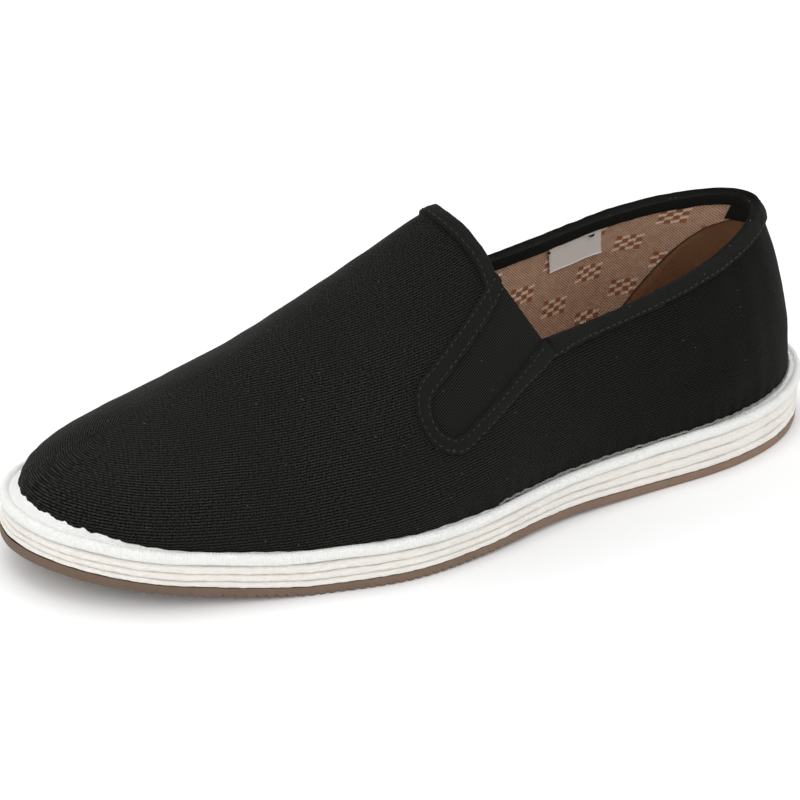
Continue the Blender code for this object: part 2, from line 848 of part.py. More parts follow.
def make_label(material):
    """Bare woven size label, hanging from the tape on the inside of the far wall."""
    rows, columns = 4, 7
    top_gap = INNER_TAPE_WIDTH + CLEARANCE
    x = LABEL_X + np.linspace(-LABEL_LENGTH / 2, LABEL_LENGTH / 2, columns)
    drop = top_gap + np.linspace(0, LABEL_HEIGHT, rows)
    grid_drop, grid_x = np.meshgrid(drop, x, indexing="ij")
    turn, rise = on_wall(MEDIAL, grid_x, collar_line(grid_x, -BALL_WIDTH) - grid_drop)
    face = offset_last(MEDIAL, turn, rise, np.full(turn.shape, -WALL - CLEARANCE))
    back = offset_last(
        MEDIAL, turn, rise, np.full(turn.shape, -WALL - CLEARANCE - LABEL_THICKNESS)
    )
    verts, faces = sheet(face, back)
    return make_object("size_label", verts, faces, material)


def main():
    for old in list(bpy.data.objects):
        bpy.data.objects.remove(old, do_unlink=True)
    rubber = cloth("tan_rubber", (0.25, 0.17, 0.12), 0.7)
    white = cloth("white_cloth", (0.80, 0.78, 0.73), 0.95)
    cord = cloth("white_cord", (0.88, 0.88, 0.86), 0.9)
    black = cloth("black_twill", (0.014, 0.014, 0.013), 0.85)
    elastic = cloth("black_elastic", (0.012, 0.012, 0.011), 0.8)
    tape = cloth("black_tape", (0.018, 0.018, 0.017), 0.85)
    sock = cloth("brown_sock", (0.13, 0.07, 0.035), 0.9)
    label = cloth("white_label", (0.82, 0.80, 0.78), 0.8)
    make_outsole(rubber)
    make_layers(white)
    make_welt(cord)
    make_insole(sock)
    make_upper(black)
    for side, word in ((LATERAL, "lateral"), (MEDIAL, "medial")):
        make_gore(side, "gore_" + word, elastic)
        make_gore_tape(side, "gore_tape_" + word, tape)
    make_collar_tape(tape)
    make_vamp_tape(tape)
    make_label(label)


main()
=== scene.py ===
"""Looks of a Chinese cloth shoe: black twill slip-on, elastic gussets, layered white sole.

Every piece follows the same two forms as the CAD part: the plan and rise of the sole, and
the last above it. A point of the last has a turn along the shoe and a rise up its side.
Each cloth carries a UV map in millimetres, so weaves, ribs and figures keep their true size.
"""
from collections import namedtuple
from math import pi

import bmesh
import bpy
import numpy as np
from mathutils import Matrix, Vector


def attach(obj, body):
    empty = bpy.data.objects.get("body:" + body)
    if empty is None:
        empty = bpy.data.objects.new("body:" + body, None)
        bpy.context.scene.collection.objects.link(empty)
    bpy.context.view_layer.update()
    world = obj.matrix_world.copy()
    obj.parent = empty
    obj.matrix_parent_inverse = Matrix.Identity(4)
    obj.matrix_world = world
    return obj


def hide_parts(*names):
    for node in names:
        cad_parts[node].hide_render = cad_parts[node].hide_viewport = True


bl_info = {
    "name": "Cloth shoe",
    "version": (1, 0, 0),
    "blender": (4, 5, 0),
    "location": "View3D > Sidebar > Cloth shoe",
    "description": "Builds the cloth, stitching and sole of a cloth slip-on shoe",
    "category": "Add Mesh",
}

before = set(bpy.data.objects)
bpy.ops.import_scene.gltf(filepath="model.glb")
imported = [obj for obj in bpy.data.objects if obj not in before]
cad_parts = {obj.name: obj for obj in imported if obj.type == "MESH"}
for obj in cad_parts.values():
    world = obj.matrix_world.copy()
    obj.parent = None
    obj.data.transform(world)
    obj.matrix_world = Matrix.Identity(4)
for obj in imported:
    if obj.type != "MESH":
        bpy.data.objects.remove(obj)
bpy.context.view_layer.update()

# Sizes shared with the CAD part, in metres
SOLE_LENGTH = 0.280
BALL_WIDTH = 0.102
SOLE_THICKNESS = 0.0137
RUBBER_THICKNESS = 0.0030
WELT_THICKNESS = 0.0036
TOE_SPRING = 0.0090
ARCH_RISE = 0.0013
HEEL_BEVEL = 0.0026
LEDGE_WIDTH = 0.0060
LAYER_STEP = 0.0004
TREAD_PITCH = 0.0030
TREAD_DEPTH = 0.0007
INSTEP_HEIGHT = 0.0870
COLLAR_HEIGHT = 0.0735
COLLAR_BLEND = 0.0200
WALL = 0.0018
FILLET_ARM = 0.0180
LAST_SWELL = 0.0030
RIDGE_LEAN = 0.0060
RIDGE_REAR = -0.0975
RIDGE_FRONT = 0.1100
VAMP_TOP_X = -0.0030
VAMP_BOW = 0.0026
GORE_FRONT_X = -0.0060
GORE_FRONT_Z = 0.0700
GORE_REAR_X = -0.0200
GORE_REAR_Z = 0.0567
GORE_LENGTH = 0.0448
GORE_TOP_WIDTH = 0.0184
GORE_FOOT_WIDTH = 0.0135
GORE_LEAN = 0.295
CLEARANCE = 0.0003
INSOLE_THICKNESS = 0.0040
LABEL_X = -0.0685
TAPE_LIP = 0.0012
ROLL_LIP = 0.0007
LATERAL = 1
MEDIAL = -1
MM = 1000.0

PlanRow = namedtuple("PlanRow", "station lateral medial")
PLAN = [
    PlanRow(0.00, 0.600, 0.580),
    PlanRow(0.06, 0.563, 0.547),
    PlanRow(0.16, 0.511, 0.486),
    PlanRow(0.30, 0.447, 0.360),
    PlanRow(0.42, 0.450, 0.305),
    PlanRow(0.54, 0.518, 0.360),
    PlanRow(0.64, 0.560, 0.464),
    PlanRow(0.74, 0.558, 0.545),
    PlanRow(0.84, 0.575, 0.566),
    PlanRow(0.93, 0.615, 0.572),
    PlanRow(1.00, 0.610, 0.610),
]
SoleRow = namedtuple("SoleRow", "station thickness ledge")
SOLE = [
    SoleRow(0.00, 1.22, 0.82),
    SoleRow(0.25, 1.18, 0.45),
    SoleRow(0.48, 0.97, 0.48),
    SoleRow(0.70, 1.00, 0.42),
    SoleRow(0.90, 0.94, 0.60),
    SoleRow(1.00, 0.90, 1.00),
]
LastRow = namedtuple("LastRow", "station ridge lean swell rise shoulder")
LAST = [
    LastRow(0.00, 1.100, 1.00, -0.45, 0.47, 0.42),
    LastRow(0.15, 1.070, 1.05, 0.10, 0.53, 0.20),
    LastRow(0.30, 1.010, 1.08, 0.60, 0.51, 0.25),
    LastRow(0.46, 1.000, 0.85, 0.95, 0.47, 0.41),
    LastRow(0.54, 0.912, 0.70, 0.95, 0.45, 0.42),
    LastRow(0.62, 0.810, 0.55, 0.85, 0.41, 0.37),
    LastRow(0.72, 0.688, 0.50, 0.70, 0.36, 0.29),
    LastRow(0.80, 0.598, 0.60, 0.65, 0.34, 0.27),
    LastRow(0.88, 0.516, 0.75, 0.65, 0.40, 0.36),
    LastRow(0.95, 0.455, 0.85, 0.70, 0.47, 0.46),
    LastRow(1.00, 0.410, 0.90, 0.70, 0.53, 0.52),
]
CollarRow = namedtuple("CollarRow", "station lateral medial")
COLLAR = [
    CollarRow(0.000, 1.018, 1.018),
    CollarRow(0.060, 0.988, 1.006),
    CollarRow(0.143, 0.916, 0.950),
    CollarRow(0.232, 0.852, 0.880),
    CollarRow(0.343, 0.788, 0.808),
]
TreadRow = namedtuple("TreadRow", "phase cut")
TREAD = [
    TreadRow(0.00, 0.0),
    TreadRow(0.15, 1.0),
    TreadRow(0.40, 1.0),
    TreadRow(0.55, 0.0),
]
LayerRow = namedtuple("LayerRow", "name share steps")
LAYERS = [
    LayerRow("midsole_layer_1", 0.27, 1.0),
    LayerRow("midsole_layer_2", 0.33, 0.5),
    LayerRow("midsole_layer_3", 0.40, 0.0),
]

# Soft troughs and ridges of the worn cloth, placed in the side view: x and z of the
# middle, way it runs in degrees, half length, half width and depth, all in millimetres
CreaseRow = namedtuple("CreaseRow", "side x z run length width depth")
CREASES = [
    CreaseRow(LATERAL, 40, 62, -28, 26, 5.0, -0.5),
    CreaseRow(LATERAL, 62, 44, -24, 22, 4.0, -0.4),
    CreaseRow(LATERAL, 36, 36, 62, 16, 3.5, -0.5),
    CreaseRow(LATERAL, -34, 42, 12, 20, 5.0, -0.5),
    CreaseRow(LATERAL, -62, 34, -6, 26, 6.0, -0.5),
    CreaseRow(LATERAL, -112, 40, 84, 20, 6.0, -0.4),
    CreaseRow(LATERAL, -22, 32, 48, 15, 4.0, 0.4),
    CreaseRow(LATERAL, 84, 32, -18, 20, 5.0, 0.3),
    CreaseRow(MEDIAL, 40, 60, -30, 26, 5.0, -0.5),
    CreaseRow(MEDIAL, 66, 42, -20, 24, 4.5, -0.5),
    CreaseRow(MEDIAL, 34, 34, 58, 16, 3.5, -0.5),
    CreaseRow(MEDIAL, -40, 38, 8, 24, 5.0, -0.6),
    CreaseRow(MEDIAL, -88, 40, -4, 22, 6.0, -0.4),
]


def column(rows, name):
    """One named column of a table."""
    return [getattr(row, name) for row in rows]


def curve_through(stations, values, where):
    """Smooth curve through a table's column, read at the places in where."""
    stations = np.asarray(stations, float)
    values = np.asarray(values, float)
    where = np.clip(np.asarray(where, float), stations[0], stations[-1])
    slopes = np.gradient(values, stations)
    row = np.clip(np.searchsorted(stations, where) - 1, 0, len(stations) - 2)
    span = stations[row + 1] - stations[row]
    t = (where - stations[row]) / span
    return (
        (2 * t**3 - 3 * t**2 + 1) * values[row]
        + (t**3 - 2 * t**2 + t) * span * slopes[row]
        + (3 * t**2 - 2 * t**3) * values[row + 1]
        + (t**3 - t**2) * span * slopes[row + 1]
    )


def read(rows, name, where):
    """A named column of a table, smoothly read at the places in where."""
    return curve_through(column(rows, "station"), column(rows, name), where)


def station_of(x):
    """Share of the sole's length at a place along it."""
    return x / SOLE_LENGTH + 0.5


def share_of(turn):
    """Share of the length at a turn: 0 at the heel, 1 at the toe, dense at both ends."""
    return (1 - np.cos(pi * turn)) / 2


def plan_width(side, turn):
    """Distance from the heel's middle line to the sole's edge."""
    share = read(PLAN, "lateral" if side > 0 else "medial", share_of(turn))
    return share * BALL_WIDTH * np.sin(pi * turn)


EVEN_TURNS = np.linspace(0, 1, 200)
HEEL_LINE = (plan_width(MEDIAL, EVEN_TURNS).max() - plan_width(LATERAL, EVEN_TURNS).max()) / 2


def plan_edge(side, turn):
    """Edge of the sole in plan, an array of x and y."""
    turn = np.asarray(turn, float)
    x = SOLE_LENGTH * (share_of(turn) - 0.5)
    return np.stack([x, HEEL_LINE + side * plan_width(side, turn)], -1)


def plan_outward(side, turn):
    """Unit vector in plan that points out of the sole."""
    step = 1e-4
    along = plan_edge(side, turn + step) - plan_edge(side, turn - step)
    out = np.stack([-along[..., 1], along[..., 0]], -1) * side
    return out / np.linalg.norm(out, axis=-1, keepdims=True)


def sole_rise(x):
    """Height of the sole's underside: flat under heel and ball, sprung at the toe."""
    heel_end, arch_start, arch_end, ball_end = 0.10, 0.24, 0.64, 0.745
    station = station_of(x)
    bevel = np.clip(1 - station / heel_end, 0, 1) ** 2
    arch = np.clip((station - arch_start) / (arch_end - arch_start), 0, 1)
    spring = np.clip((station - ball_end) / (1 - ball_end), 0, 1) ** 1.15
    return HEEL_BEVEL * bevel + ARCH_RISE * np.sin(pi * arch) ** 2 + TOE_SPRING * spring


def sole_top(x):
    """Height of the sole's upper face, under the upper's lower edge."""
    return sole_rise(x) + SOLE_THICKNESS * read(SOLE, "thickness", station_of(x))


def stack_height(x):
    """Room between the rubber and the welt."""
    return sole_top(x) - WELT_THICKNESS - sole_rise(x) - RUBBER_THICKNESS


def feather_edge(side, turn):
    """Lower edge of the last, on the ledge of the welt."""
    ledge = LEDGE_WIDTH * read(SOLE, "ledge", share_of(turn))
    edge = plan_edge(side, turn) - plan_outward(side, turn) * ledge[..., None]
    return raised(edge, sole_top(edge[..., 0]) + CLEARANCE)


def ridge_slope(station):
    """Fall or climb of the ridge along x."""
    step = 0.01
    middle = np.clip(station, step, 1 - step)
    climb = read(LAST, "ridge", middle + step) - read(LAST, "ridge", middle - step)
    return climb * INSTEP_HEIGHT / (2 * step * (RIDGE_FRONT - RIDGE_REAR))


def last(side, turn, rise):
    """Point of the last: turn from heel to toe, rise 0 at the sole and 1 on the ridge."""
    turn, rise = np.broadcast_arrays(np.asarray(turn, float), np.asarray(rise, float))
    station = share_of(turn)
    foot = feather_edge(side, turn)
    out = np.concatenate([plan_outward(side, turn), 0 * foot[..., :1]], -1)
    ridge = np.stack(
        [
            RIDGE_REAR + (RIDGE_FRONT - RIDGE_REAR) * station,
            HEEL_LINE - RIDGE_LEAN * read(LAST, "lean", station),
            INSTEP_HEIGHT * read(LAST, "ridge", station),
        ],
        -1,
    )
    up = np.zeros_like(foot)
    up[..., 2] = (ridge[..., 2] - foot[..., 2]) * read(LAST, "rise", station)
    side_hold = foot + out * (LAST_SWELL * read(LAST, "swell", station))[..., None] + up
    level = (foot - ridge) * read(LAST, "shoulder", station)[..., None]
    level[..., 2] = level[..., 0] * ridge_slope(station)
    top_hold = ridge + level
    v = rise[..., None]
    return (
        (1 - v) ** 3 * foot
        + 3 * (1 - v) ** 2 * v * side_hold
        + 3 * (1 - v) * v**2 * top_hold
        + v**3 * ridge
    )


def last_frame(side, turn, rise):
    """Point, outward normal, and the last's slopes along turn and rise."""
    turn, rise = np.broadcast_arrays(np.asarray(turn, float), np.asarray(rise, float))
    step = 1e-4
    below_ridge = np.minimum(rise, 0.985)
    along = last(side, turn + step, below_ridge) - last(side, turn - step, below_ridge)
    along = along / (2 * step)
    climb = last(side, turn, below_ridge + step) - last(side, turn, below_ridge - step)
    climb = climb / (2 * step)
    normal = np.cross(climb, along) * side
    normal = normal / np.linalg.norm(normal, axis=-1, keepdims=True)
    return last(side, turn, rise), normal, along, climb


def offset_last(side, turn, rise, distance):
    """Point at a distance outside the last, or inside it where distance is negative."""
    point, normal, _, _ = last_frame(side, turn, rise)
    return point + normal * np.asarray(distance, float)[..., None]


def collar_line(x, y):
    """Height of the collar's edge from the heel to the gusset's rear corner."""
    rows_x = [SOLE_LENGTH * (row.station - 0.5) for row in COLLAR] + [GORE_REAR_X]
    heights = []
    for name in ("lateral", "medial"):
        rows_z = [COLLAR_HEIGHT * share for share in column(COLLAR, name)] + [GORE_REAR_Z]
        heights.append(curve_through(rows_x, rows_z, x))
    share = np.clip((y - HEEL_LINE) / COLLAR_BLEND, -1, 1)
    return (heights[0] + heights[1]) / 2 + (heights[0] - heights[1]) / 2 * share


def vamp_line(z):
    """Place of the vamp's top edge at a height above the gusset's front corner."""
    climb = (z - GORE_FRONT_Z) / (INSTEP_HEIGHT - GORE_FRONT_Z)
    bow = VAMP_BOW * 4 * climb * (1 - climb)
    return GORE_FRONT_X + (VAMP_TOP_X - GORE_FRONT_X) * climb - bow


def solve(check, low, high, count=40):
    """Bisection, element by element, to the first place where check turns true."""
    for _ in range(count):
        middle = (low + high) / 2
        beyond = check(middle)
        high = np.where(beyond, middle, high)
        low = np.where(beyond, low, middle)
    return (low + high) / 2


def collar_rise(side, turn):
    """Rise at which the last meets the collar line, for turns behind the gusset."""

    def above(rise):
        point = last(side, turn, rise)
        return point[..., 2] > collar_line(point[..., 0], point[..., 1])

    return solve(above, np.zeros_like(turn), np.ones_like(turn))


def on_wall(side, x, z):
    """Turn and rise of the point of the side wall seen at x and z in the side view."""
    x, z = np.broadcast_arrays(np.asarray(x, float), np.asarray(z, float))
    turn = np.arccos(np.clip(1 - 2 * station_of(x), -0.98, 0.98)) / pi
    rise = np.full(x.shape, 0.5)
    for _ in range(14):
        point, _, along, climb = last_frame(side, turn, rise)
        miss_x, miss_z = x - point[..., 0], z - point[..., 2]
        span = along[..., 0] * climb[..., 2] - climb[..., 0] * along[..., 2]
        span = np.where(np.abs(span) < 1e-7, 1e-7, span)
        step_turn = (miss_x * climb[..., 2] - climb[..., 0] * miss_z) / span
        step_rise = (along[..., 0] * miss_z - miss_x * along[..., 2]) / span
        turn = np.clip(turn + np.clip(step_turn, -0.08, 0.08), 0.002, 0.998)
        rise = np.clip(rise + np.clip(step_rise, -0.2, 0.2), 0.0, 0.984)
    return turn, rise


def gore_axis():
    """Middle of the gusset's top edge in the side view, with its length and width ways."""
    rear = np.array([GORE_REAR_X, GORE_REAR_Z])
    front = np.array([GORE_FRONT_X, GORE_FRONT_Z])
    across = (front - rear) / np.linalg.norm(front - rear)
    down = np.array([across[1], -across[0]])
    down = down + across * GORE_LEAN
    down = down / np.linalg.norm(down)
    across = np.array([-down[1], down[0]])
    return (rear + front) / 2, down, across


def gore_outline(path, grow):
    """Edge of the gusset in the side view: path runs down its front, round and up its rear."""
    middle, down, across = gore_axis()
    half_top = GORE_TOP_WIDTH / 2
    half_foot = GORE_FOOT_WIDTH / 2
    straight = GORE_LENGTH - half_foot
    total = 2 * straight + pi * half_foot
    gone = np.asarray(path, float) * total
    depth = np.where(gone < straight, gone, total - gone)
    taper = half_top + (half_foot - half_top) * np.clip(depth / straight, 0, 1)
    angle = np.clip((gone - straight) / half_foot, 0, pi)
    on_side = (gone < straight) | (gone > total - straight)
    sideways = np.where(on_side, np.where(gone < straight, 1, -1), np.cos(angle))
    out_down = np.where(on_side, 0, np.sin(angle))
    length = np.where(on_side, depth, straight + half_foot * np.sin(angle))
    width = np.where(on_side, taper, half_foot)
    along = length + out_down * grow
    offset = sideways * (width + grow)
    return middle + along[..., None] * down + offset[..., None] * across


def gore_place(x, z):
    """Depth below the gusset's top edge and place across it, in the side view."""
    middle, down, across = gore_axis()
    gap = np.stack([x, z], -1) - middle
    return gap @ down, gap @ across


def inside_gore(x, z, grow=0.0):
    """True where a place of the side view lies in the gusset."""
    depth, offset = gore_place(x, z)
    half_top = GORE_TOP_WIDTH / 2 + grow
    half_foot = GORE_FOOT_WIDTH / 2 + grow
    bend = GORE_LENGTH - GORE_FOOT_WIDTH / 2
    taper = half_top + (half_foot - half_top) * np.clip(depth / bend, 0, 1)
    body = (np.abs(offset) < taper) & (depth < bend)
    foot = (depth >= bend) & (np.hypot(depth - bend, offset) < half_foot)
    return body | foot


def in_opening(point, inset):
    """True where the opening cuts away the wall, and an inset beyond its edge."""
    x, y, z = point[..., 0], point[..., 1], point[..., 2]
    behind = (x < GORE_REAR_X) & (z > collar_line(x, y) - inset)
    climb = (x - GORE_REAR_X) / (GORE_FRONT_X - GORE_REAR_X)
    chord = GORE_REAR_Z + (GORE_FRONT_Z - GORE_REAR_Z) * climb
    middle = (x >= GORE_REAR_X) & (x < GORE_FRONT_X) & (z > chord - inset)
    ahead = (x >= GORE_FRONT_X) & (x < vamp_line(z) + inset) & (z > GORE_FRONT_Z - inset)
    return behind | middle | ahead


def ripple(points, scale, seed, octaves=3):
    """Smooth unevenness between about -1 and 1, from waves in fixed random directions."""
    maker = np.random.default_rng(seed)
    total = np.zeros(points.shape[:-1])
    weight = 0.0
    for octave in range(octaves):
        size = scale / 1.9**octave
        share = 0.6**octave
        for _ in range(4):
            way = maker.normal(size=3)
            way = way / np.linalg.norm(way) * 2 * pi / size
            total += share * np.sin(points @ way + maker.uniform(0, 2 * pi))
        weight += share * 2
    return total / weight


# Meshes


class Pile:
    """Gathers grids of points into one mesh with a UV map in millimetres."""

    def __init__(self):
        self.points, self.places, self.faces, self.count = [], [], [], 0

    def grid(self, points, places, keep=None, flip=False):
        """Adds a grid of points; keep marks the cells that stay."""
        rows, columns = points.shape[:2]
        index = np.arange(rows * columns).reshape(rows, columns) + self.count
        quads = np.stack([index[:-1, :-1], index[1:, :-1], index[1:, 1:], index[:-1, 1:]], -1)
        if keep is not None:
            quads = quads[keep]
        quads = quads.reshape(-1, 4)
        self.faces.append(quads[:, ::-1] if flip else quads)
        self.points.append(points.reshape(-1, 3))
        self.places.append(places.reshape(-1, 2))
        self.count += rows * columns

    def make(self, name, material, join=True):
        """The mesh of all grids; join closes the seams between them."""
        points = np.concatenate(self.points)
        places = np.concatenate(self.places)
        faces = np.concatenate(self.faces)
        mesh = bpy.data.meshes.new(name)
        mesh.from_pydata(points.tolist(), [], faces.tolist())
        layer = mesh.uv_layers.new(name="Millimetres")
        layer.data.foreach_set("uv", places[faces.ravel()].astype(np.float32).ravel())
        if join:
            work = bmesh.new()
            work.from_mesh(mesh)
            bmesh.ops.remove_doubles(work, verts=work.verts, dist=2e-6)
            loose = [v for v in work.verts if not v.link_faces]
            bmesh.ops.delete(work, geom=loose, context="VERTS")
            work.to_mesh(mesh)
            work.free()
        mesh.materials.append(material)
        mesh.shade_smooth()
        thing = bpy.data.objects.new(name, mesh)
        bpy.context.scene.collection.objects.link(thing)
        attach(thing, "root")
        return thing


def lengths_along(points):
    """Distance gone at each point of a path, from its first point."""
    steps = np.linalg.norm(np.diff(points, axis=0), axis=-1)
    return np.concatenate([[0], np.cumsum(steps)])


def across_lengths(points):
    """Distance gone across each row of a grid, from the row's first point."""
    gone = np.zeros(points.shape[:2])
    gone[:, 1:] = np.cumsum(np.linalg.norm(np.diff(points, axis=1), axis=-1), 1)
    return gone


def flat_places(along, over):
    """Places in millimetres: along holds one distance for a row, over one for a point."""
    return np.stack([np.broadcast_to(along[:, None], over.shape), over], -1) * MM


def raised(edge, height):
    """Points above places in plan, at their heights."""
    return np.concatenate([edge, height[..., None]], -1)


def resample(path, count, *others):
    """Even points on a path, with other values carried along."""
    gone = lengths_along(path)
    even = np.linspace(0, gone[-1], count)

    def spread(values):
        flat = values.reshape(len(values), -1)
        out = np.stack([np.interp(even, gone, flat[:, k]) for k in range(flat.shape[1])], -1)
        return out.reshape((count,) + values.shape[1:])

    return (even, spread(path), *[spread(v) for v in others])


def sole_loop(inset, count):
    """Even points round the sole from the heel by the lateral side: gone, xy and outward."""
    turn = np.linspace(0, 1, 2400)
    edges, outs = [], []
    for side in (LATERAL, MEDIAL):
        way = 1 if side > 0 else -1
        edges.append((plan_edge(side, turn) - plan_outward(side, turn) * inset)[::way])
        outs.append(plan_outward(side, turn)[::way])
    edge = np.concatenate([edges[0], edges[1][1:]])
    out = np.concatenate([outs[0], outs[1][1:]])
    gone, edge, out = resample(edge, count, out)
    return gone, edge, out / np.linalg.norm(out, axis=-1, keepdims=True)


def ring_points(edge, out, inset, height):
    """Points round the sole from insets and heights, one column each."""
    return raised(edge[:, None] - out[:, None] * inset[..., None], height)


def ring(pile, gone, edge, out, inset, height, flip=False):
    """Sweeps a section round the sole."""
    points = ring_points(edge, out, inset, height)
    pile.grid(points, flat_places(gone, across_lengths(points)), flip=flip)


def stitch(pile, start, end, normal, width, rise):
    """One stitch: a short thread that bows out of the cloth between two holes."""
    steps, around = 6, 6
    share = np.linspace(0, 1, steps)
    bow = np.sin(pi * share) ** 0.5
    middle = start + (end - start) * share[:, None] + normal * (rise * bow - 0.1 * rise)[:, None]
    along = (end - start) / max(np.linalg.norm(end - start), 1e-9)
    across = np.cross(normal, along)
    angles = np.linspace(0, 2 * pi, around + 1)
    thick = width / 2 * (0.55 + 0.45 * bow)
    circle = np.cos(angles)[None, :, None] * across + np.sin(angles)[None, :, None] * normal
    points = middle[:, None] + circle * thick[:, None, None]
    places = np.stack(np.meshgrid(share * 2, angles, indexing="ij"), -1)
    pile.grid(points, places)


def stitch_row(pile, path, normals, rise, jitter, seed, shorten=1.0):
    """A row of stitches along a path on the cloth."""
    size = sizes()
    length, gap = size.stitch_length * shorten, size.stitch_gap
    maker = np.random.default_rng(seed)
    total = lengths_along(path)[-1]
    count = max(int(total / (length + gap)), 1)
    _, even, normal = resample(path, count * 8 + 1, normals)
    for k in range(count):
        first, final = k * 8, k * 8 + int(8 * length / (length + gap))
        shift = maker.normal(size=3) * jitter
        way = normal[first + 2] / np.linalg.norm(normal[first + 2])
        start, end = even[first] + shift, even[final] + shift * 0.4
        stitch(pile, start, end, way, size.thread_width, rise)


# Materials


def screen(red, green, blue):
    """Scene colour of a screen colour given from 0 to 255."""
    shares = np.array([red, green, blue]) / 255
    return tuple(np.where(shares < 0.04045, shares / 12.92, ((shares + 0.055) / 1.055) ** 2.4))


def shade(colour, share):
    """A colour made darker or lighter."""
    return tuple(part * share for part in colour)


class Net:
    """Joins shader nodes in one tree, a line at a time."""

    def __init__(self, tree):
        self.tree = tree

    def node(self, kind, **settings):
        """A new node with its settings."""
        made = self.tree.nodes.new(kind)
        for name, value in settings.items():
            setattr(made, name, value)
        return made

    def feed(self, socket, value):
        """Links a socket to a socket, or sets its value."""
        if isinstance(value, bpy.types.NodeSocket):
            self.tree.links.new(value, socket)
        else:
            socket.default_value = value

    def math(self, operation, *values, clamp=False):
        """One sum."""
        made = self.node("ShaderNodeMath", operation=operation, use_clamp=clamp)
        for socket, value in zip(made.inputs, values):
            self.feed(socket, value)
        return made.outputs[0]

    def mix(self, share, first, second, blend="MIX"):
        """A colour between two colours."""
        made = self.node("ShaderNodeMix", data_type="RGBA", blend_type=blend)
        self.feed(made.inputs[0], share)
        for socket, value in ((made.inputs[6], first), (made.inputs[7], second)):
            is_socket = isinstance(value, bpy.types.NodeSocket)
            self.feed(socket, value if is_socket else (*value, 1))
        return made.outputs[2]

    def noise(self, place, scale, detail=2.0, rough=0.5):
        """Soft unevenness between 0 and 1."""
        made = self.node("ShaderNodeTexNoise")
        self.feed(made.inputs["Vector"], place)
        self.feed(made.inputs["Scale"], scale)
        made.inputs["Detail"].default_value = detail
        made.inputs["Roughness"].default_value = rough
        return made.outputs[0]

    def spread(self, value, low, high, to_low=0.0, to_high=1.0, smooth=False):
        """A value carried from one range to another, and held at its ends."""
        kind = "SMOOTHSTEP" if smooth else "LINEAR"
        made = self.node("ShaderNodeMapRange", interpolation_type=kind)
        for socket, number in zip(made.inputs, (value, low, high, to_low, to_high)):
            self.feed(socket, number)
        return made.outputs[0]

    def stretch(self, place, across, along):
        """The place with each of its two ways scaled."""
        made = self.node("ShaderNodeVectorMath", operation="MULTIPLY")
        self.feed(made.inputs[0], place)
        made.inputs[1].default_value = (across, along, 1.0)
        return made.outputs[0]

    def parts(self, place):
        """The two ways of a place."""
        made = self.node("ShaderNodeSeparateXYZ")
        self.feed(made.inputs[0], place)
        return made.outputs[0], made.outputs[1]

    def wave(self, value, pitch):
        """Even ridges of a pitch, between 0 and 1."""
        turned = self.math("MULTIPLY", self.math("DIVIDE", value, pitch), 2 * pi)
        return self.math("MULTIPLY_ADD", self.math("COSINE", turned), 0.5, 0.5)

    def group(self, tree, **values):
        """The outputs of an effect with this material's values."""
        made = self.node("ShaderNodeGroup", node_tree=tree)
        for name, value in values.items():
            self.feed(made.inputs[name.replace("_", " ")], value)
        return made.outputs


def new_effect(name, ins, outs):
    """An empty node group with named inputs and outputs, and its two end nodes."""
    tree = bpy.data.node_groups.new(name, "ShaderNodeTree")
    for word, kind, default in ins:
        made = tree.interface.new_socket(name=word, in_out="INPUT", socket_type=kind)
        if default is not None:
            made.default_value = default
    for word, kind in outs:
        tree.interface.new_socket(name=word, in_out="OUTPUT", socket_type=kind)
    net = Net(tree)
    return tree, net, net.node("NodeGroupInput").outputs, net.node("NodeGroupOutput").inputs


def weave_effect():
    """Twill lines of a pitch that climb by a slant, each cut into short floats of thread."""
    tree, net, given, result = new_effect(
        "cloth weave",
        [
            ("Place", "NodeSocketVector", None),
            ("Line Pitch", "NodeSocketFloat", 0.9),
            ("Thread Pitch", "NodeSocketFloat", 0.8),
            ("Slant", "NodeSocketFloat", 0.2),
            ("Wander", "NodeSocketFloat", 0.3),
        ],
        [("Height", "NodeSocketFloat"), ("Thread", "NodeSocketFloat")],
    )
    place, line, thread, slant, wander = [given[k] for k in range(5)]
    across, up = net.parts(place)
    drift = net.math("MULTIPLY", net.math("SUBTRACT", net.noise(place, 0.35, 3), 0.5), wander)
    climb = net.math("ADD", net.math("MULTIPLY_ADD", across, slant, up), drift)
    ridge = net.wave(climb, line)
    row = net.math("FLOOR", net.math("DIVIDE", climb, line))
    stagger = net.math("MULTIPLY_ADD", net.math("MULTIPLY", row, 0.37), thread, across)
    floats = net.wave(stagger, thread)
    hair = net.noise(net.stretch(place, 3.0, 3.0), 1.0, 2, 0.7)
    body = net.math("MULTIPLY", ridge, net.math("MULTIPLY_ADD", floats, 0.45, 0.55))
    net.feed(result["Height"], net.math("MULTIPLY_ADD", hair, 0.25, body))
    net.feed(result["Thread"], body)
    return tree


def fuzz_effect():
    """Short matted fibres: an uneven height and the mask of the fibres that stand up."""
    tree, net, given, result = new_effect(
        "cotton fuzz",
        [
            ("Place", "NodeSocketVector", None),
            ("Size", "NodeSocketFloat", 1.0),
        ],
        [("Height", "NodeSocketFloat"), ("Fibre", "NodeSocketFloat")],
    )
    place, size = given[0], given[1]
    shrink = net.math("DIVIDE", 1.0, size)
    soft = net.noise(place, shrink, 4, 0.65)
    drawn = net.node("ShaderNodeTexNoise")
    net.feed(drawn.inputs["Vector"], net.stretch(place, 0.35, 2.2))
    net.feed(drawn.inputs["Scale"], net.math("MULTIPLY", shrink, 2.0))
    drawn.inputs["Detail"].default_value = 3
    drawn.inputs["Distortion"].default_value = 1.2
    fibre = net.spread(drawn.outputs[0], 0.42, 0.62, smooth=True)
    net.feed(result["Height"], net.math("MULTIPLY_ADD", fibre, 0.4, soft))
    net.feed(result["Fibre"], fibre)
    return tree


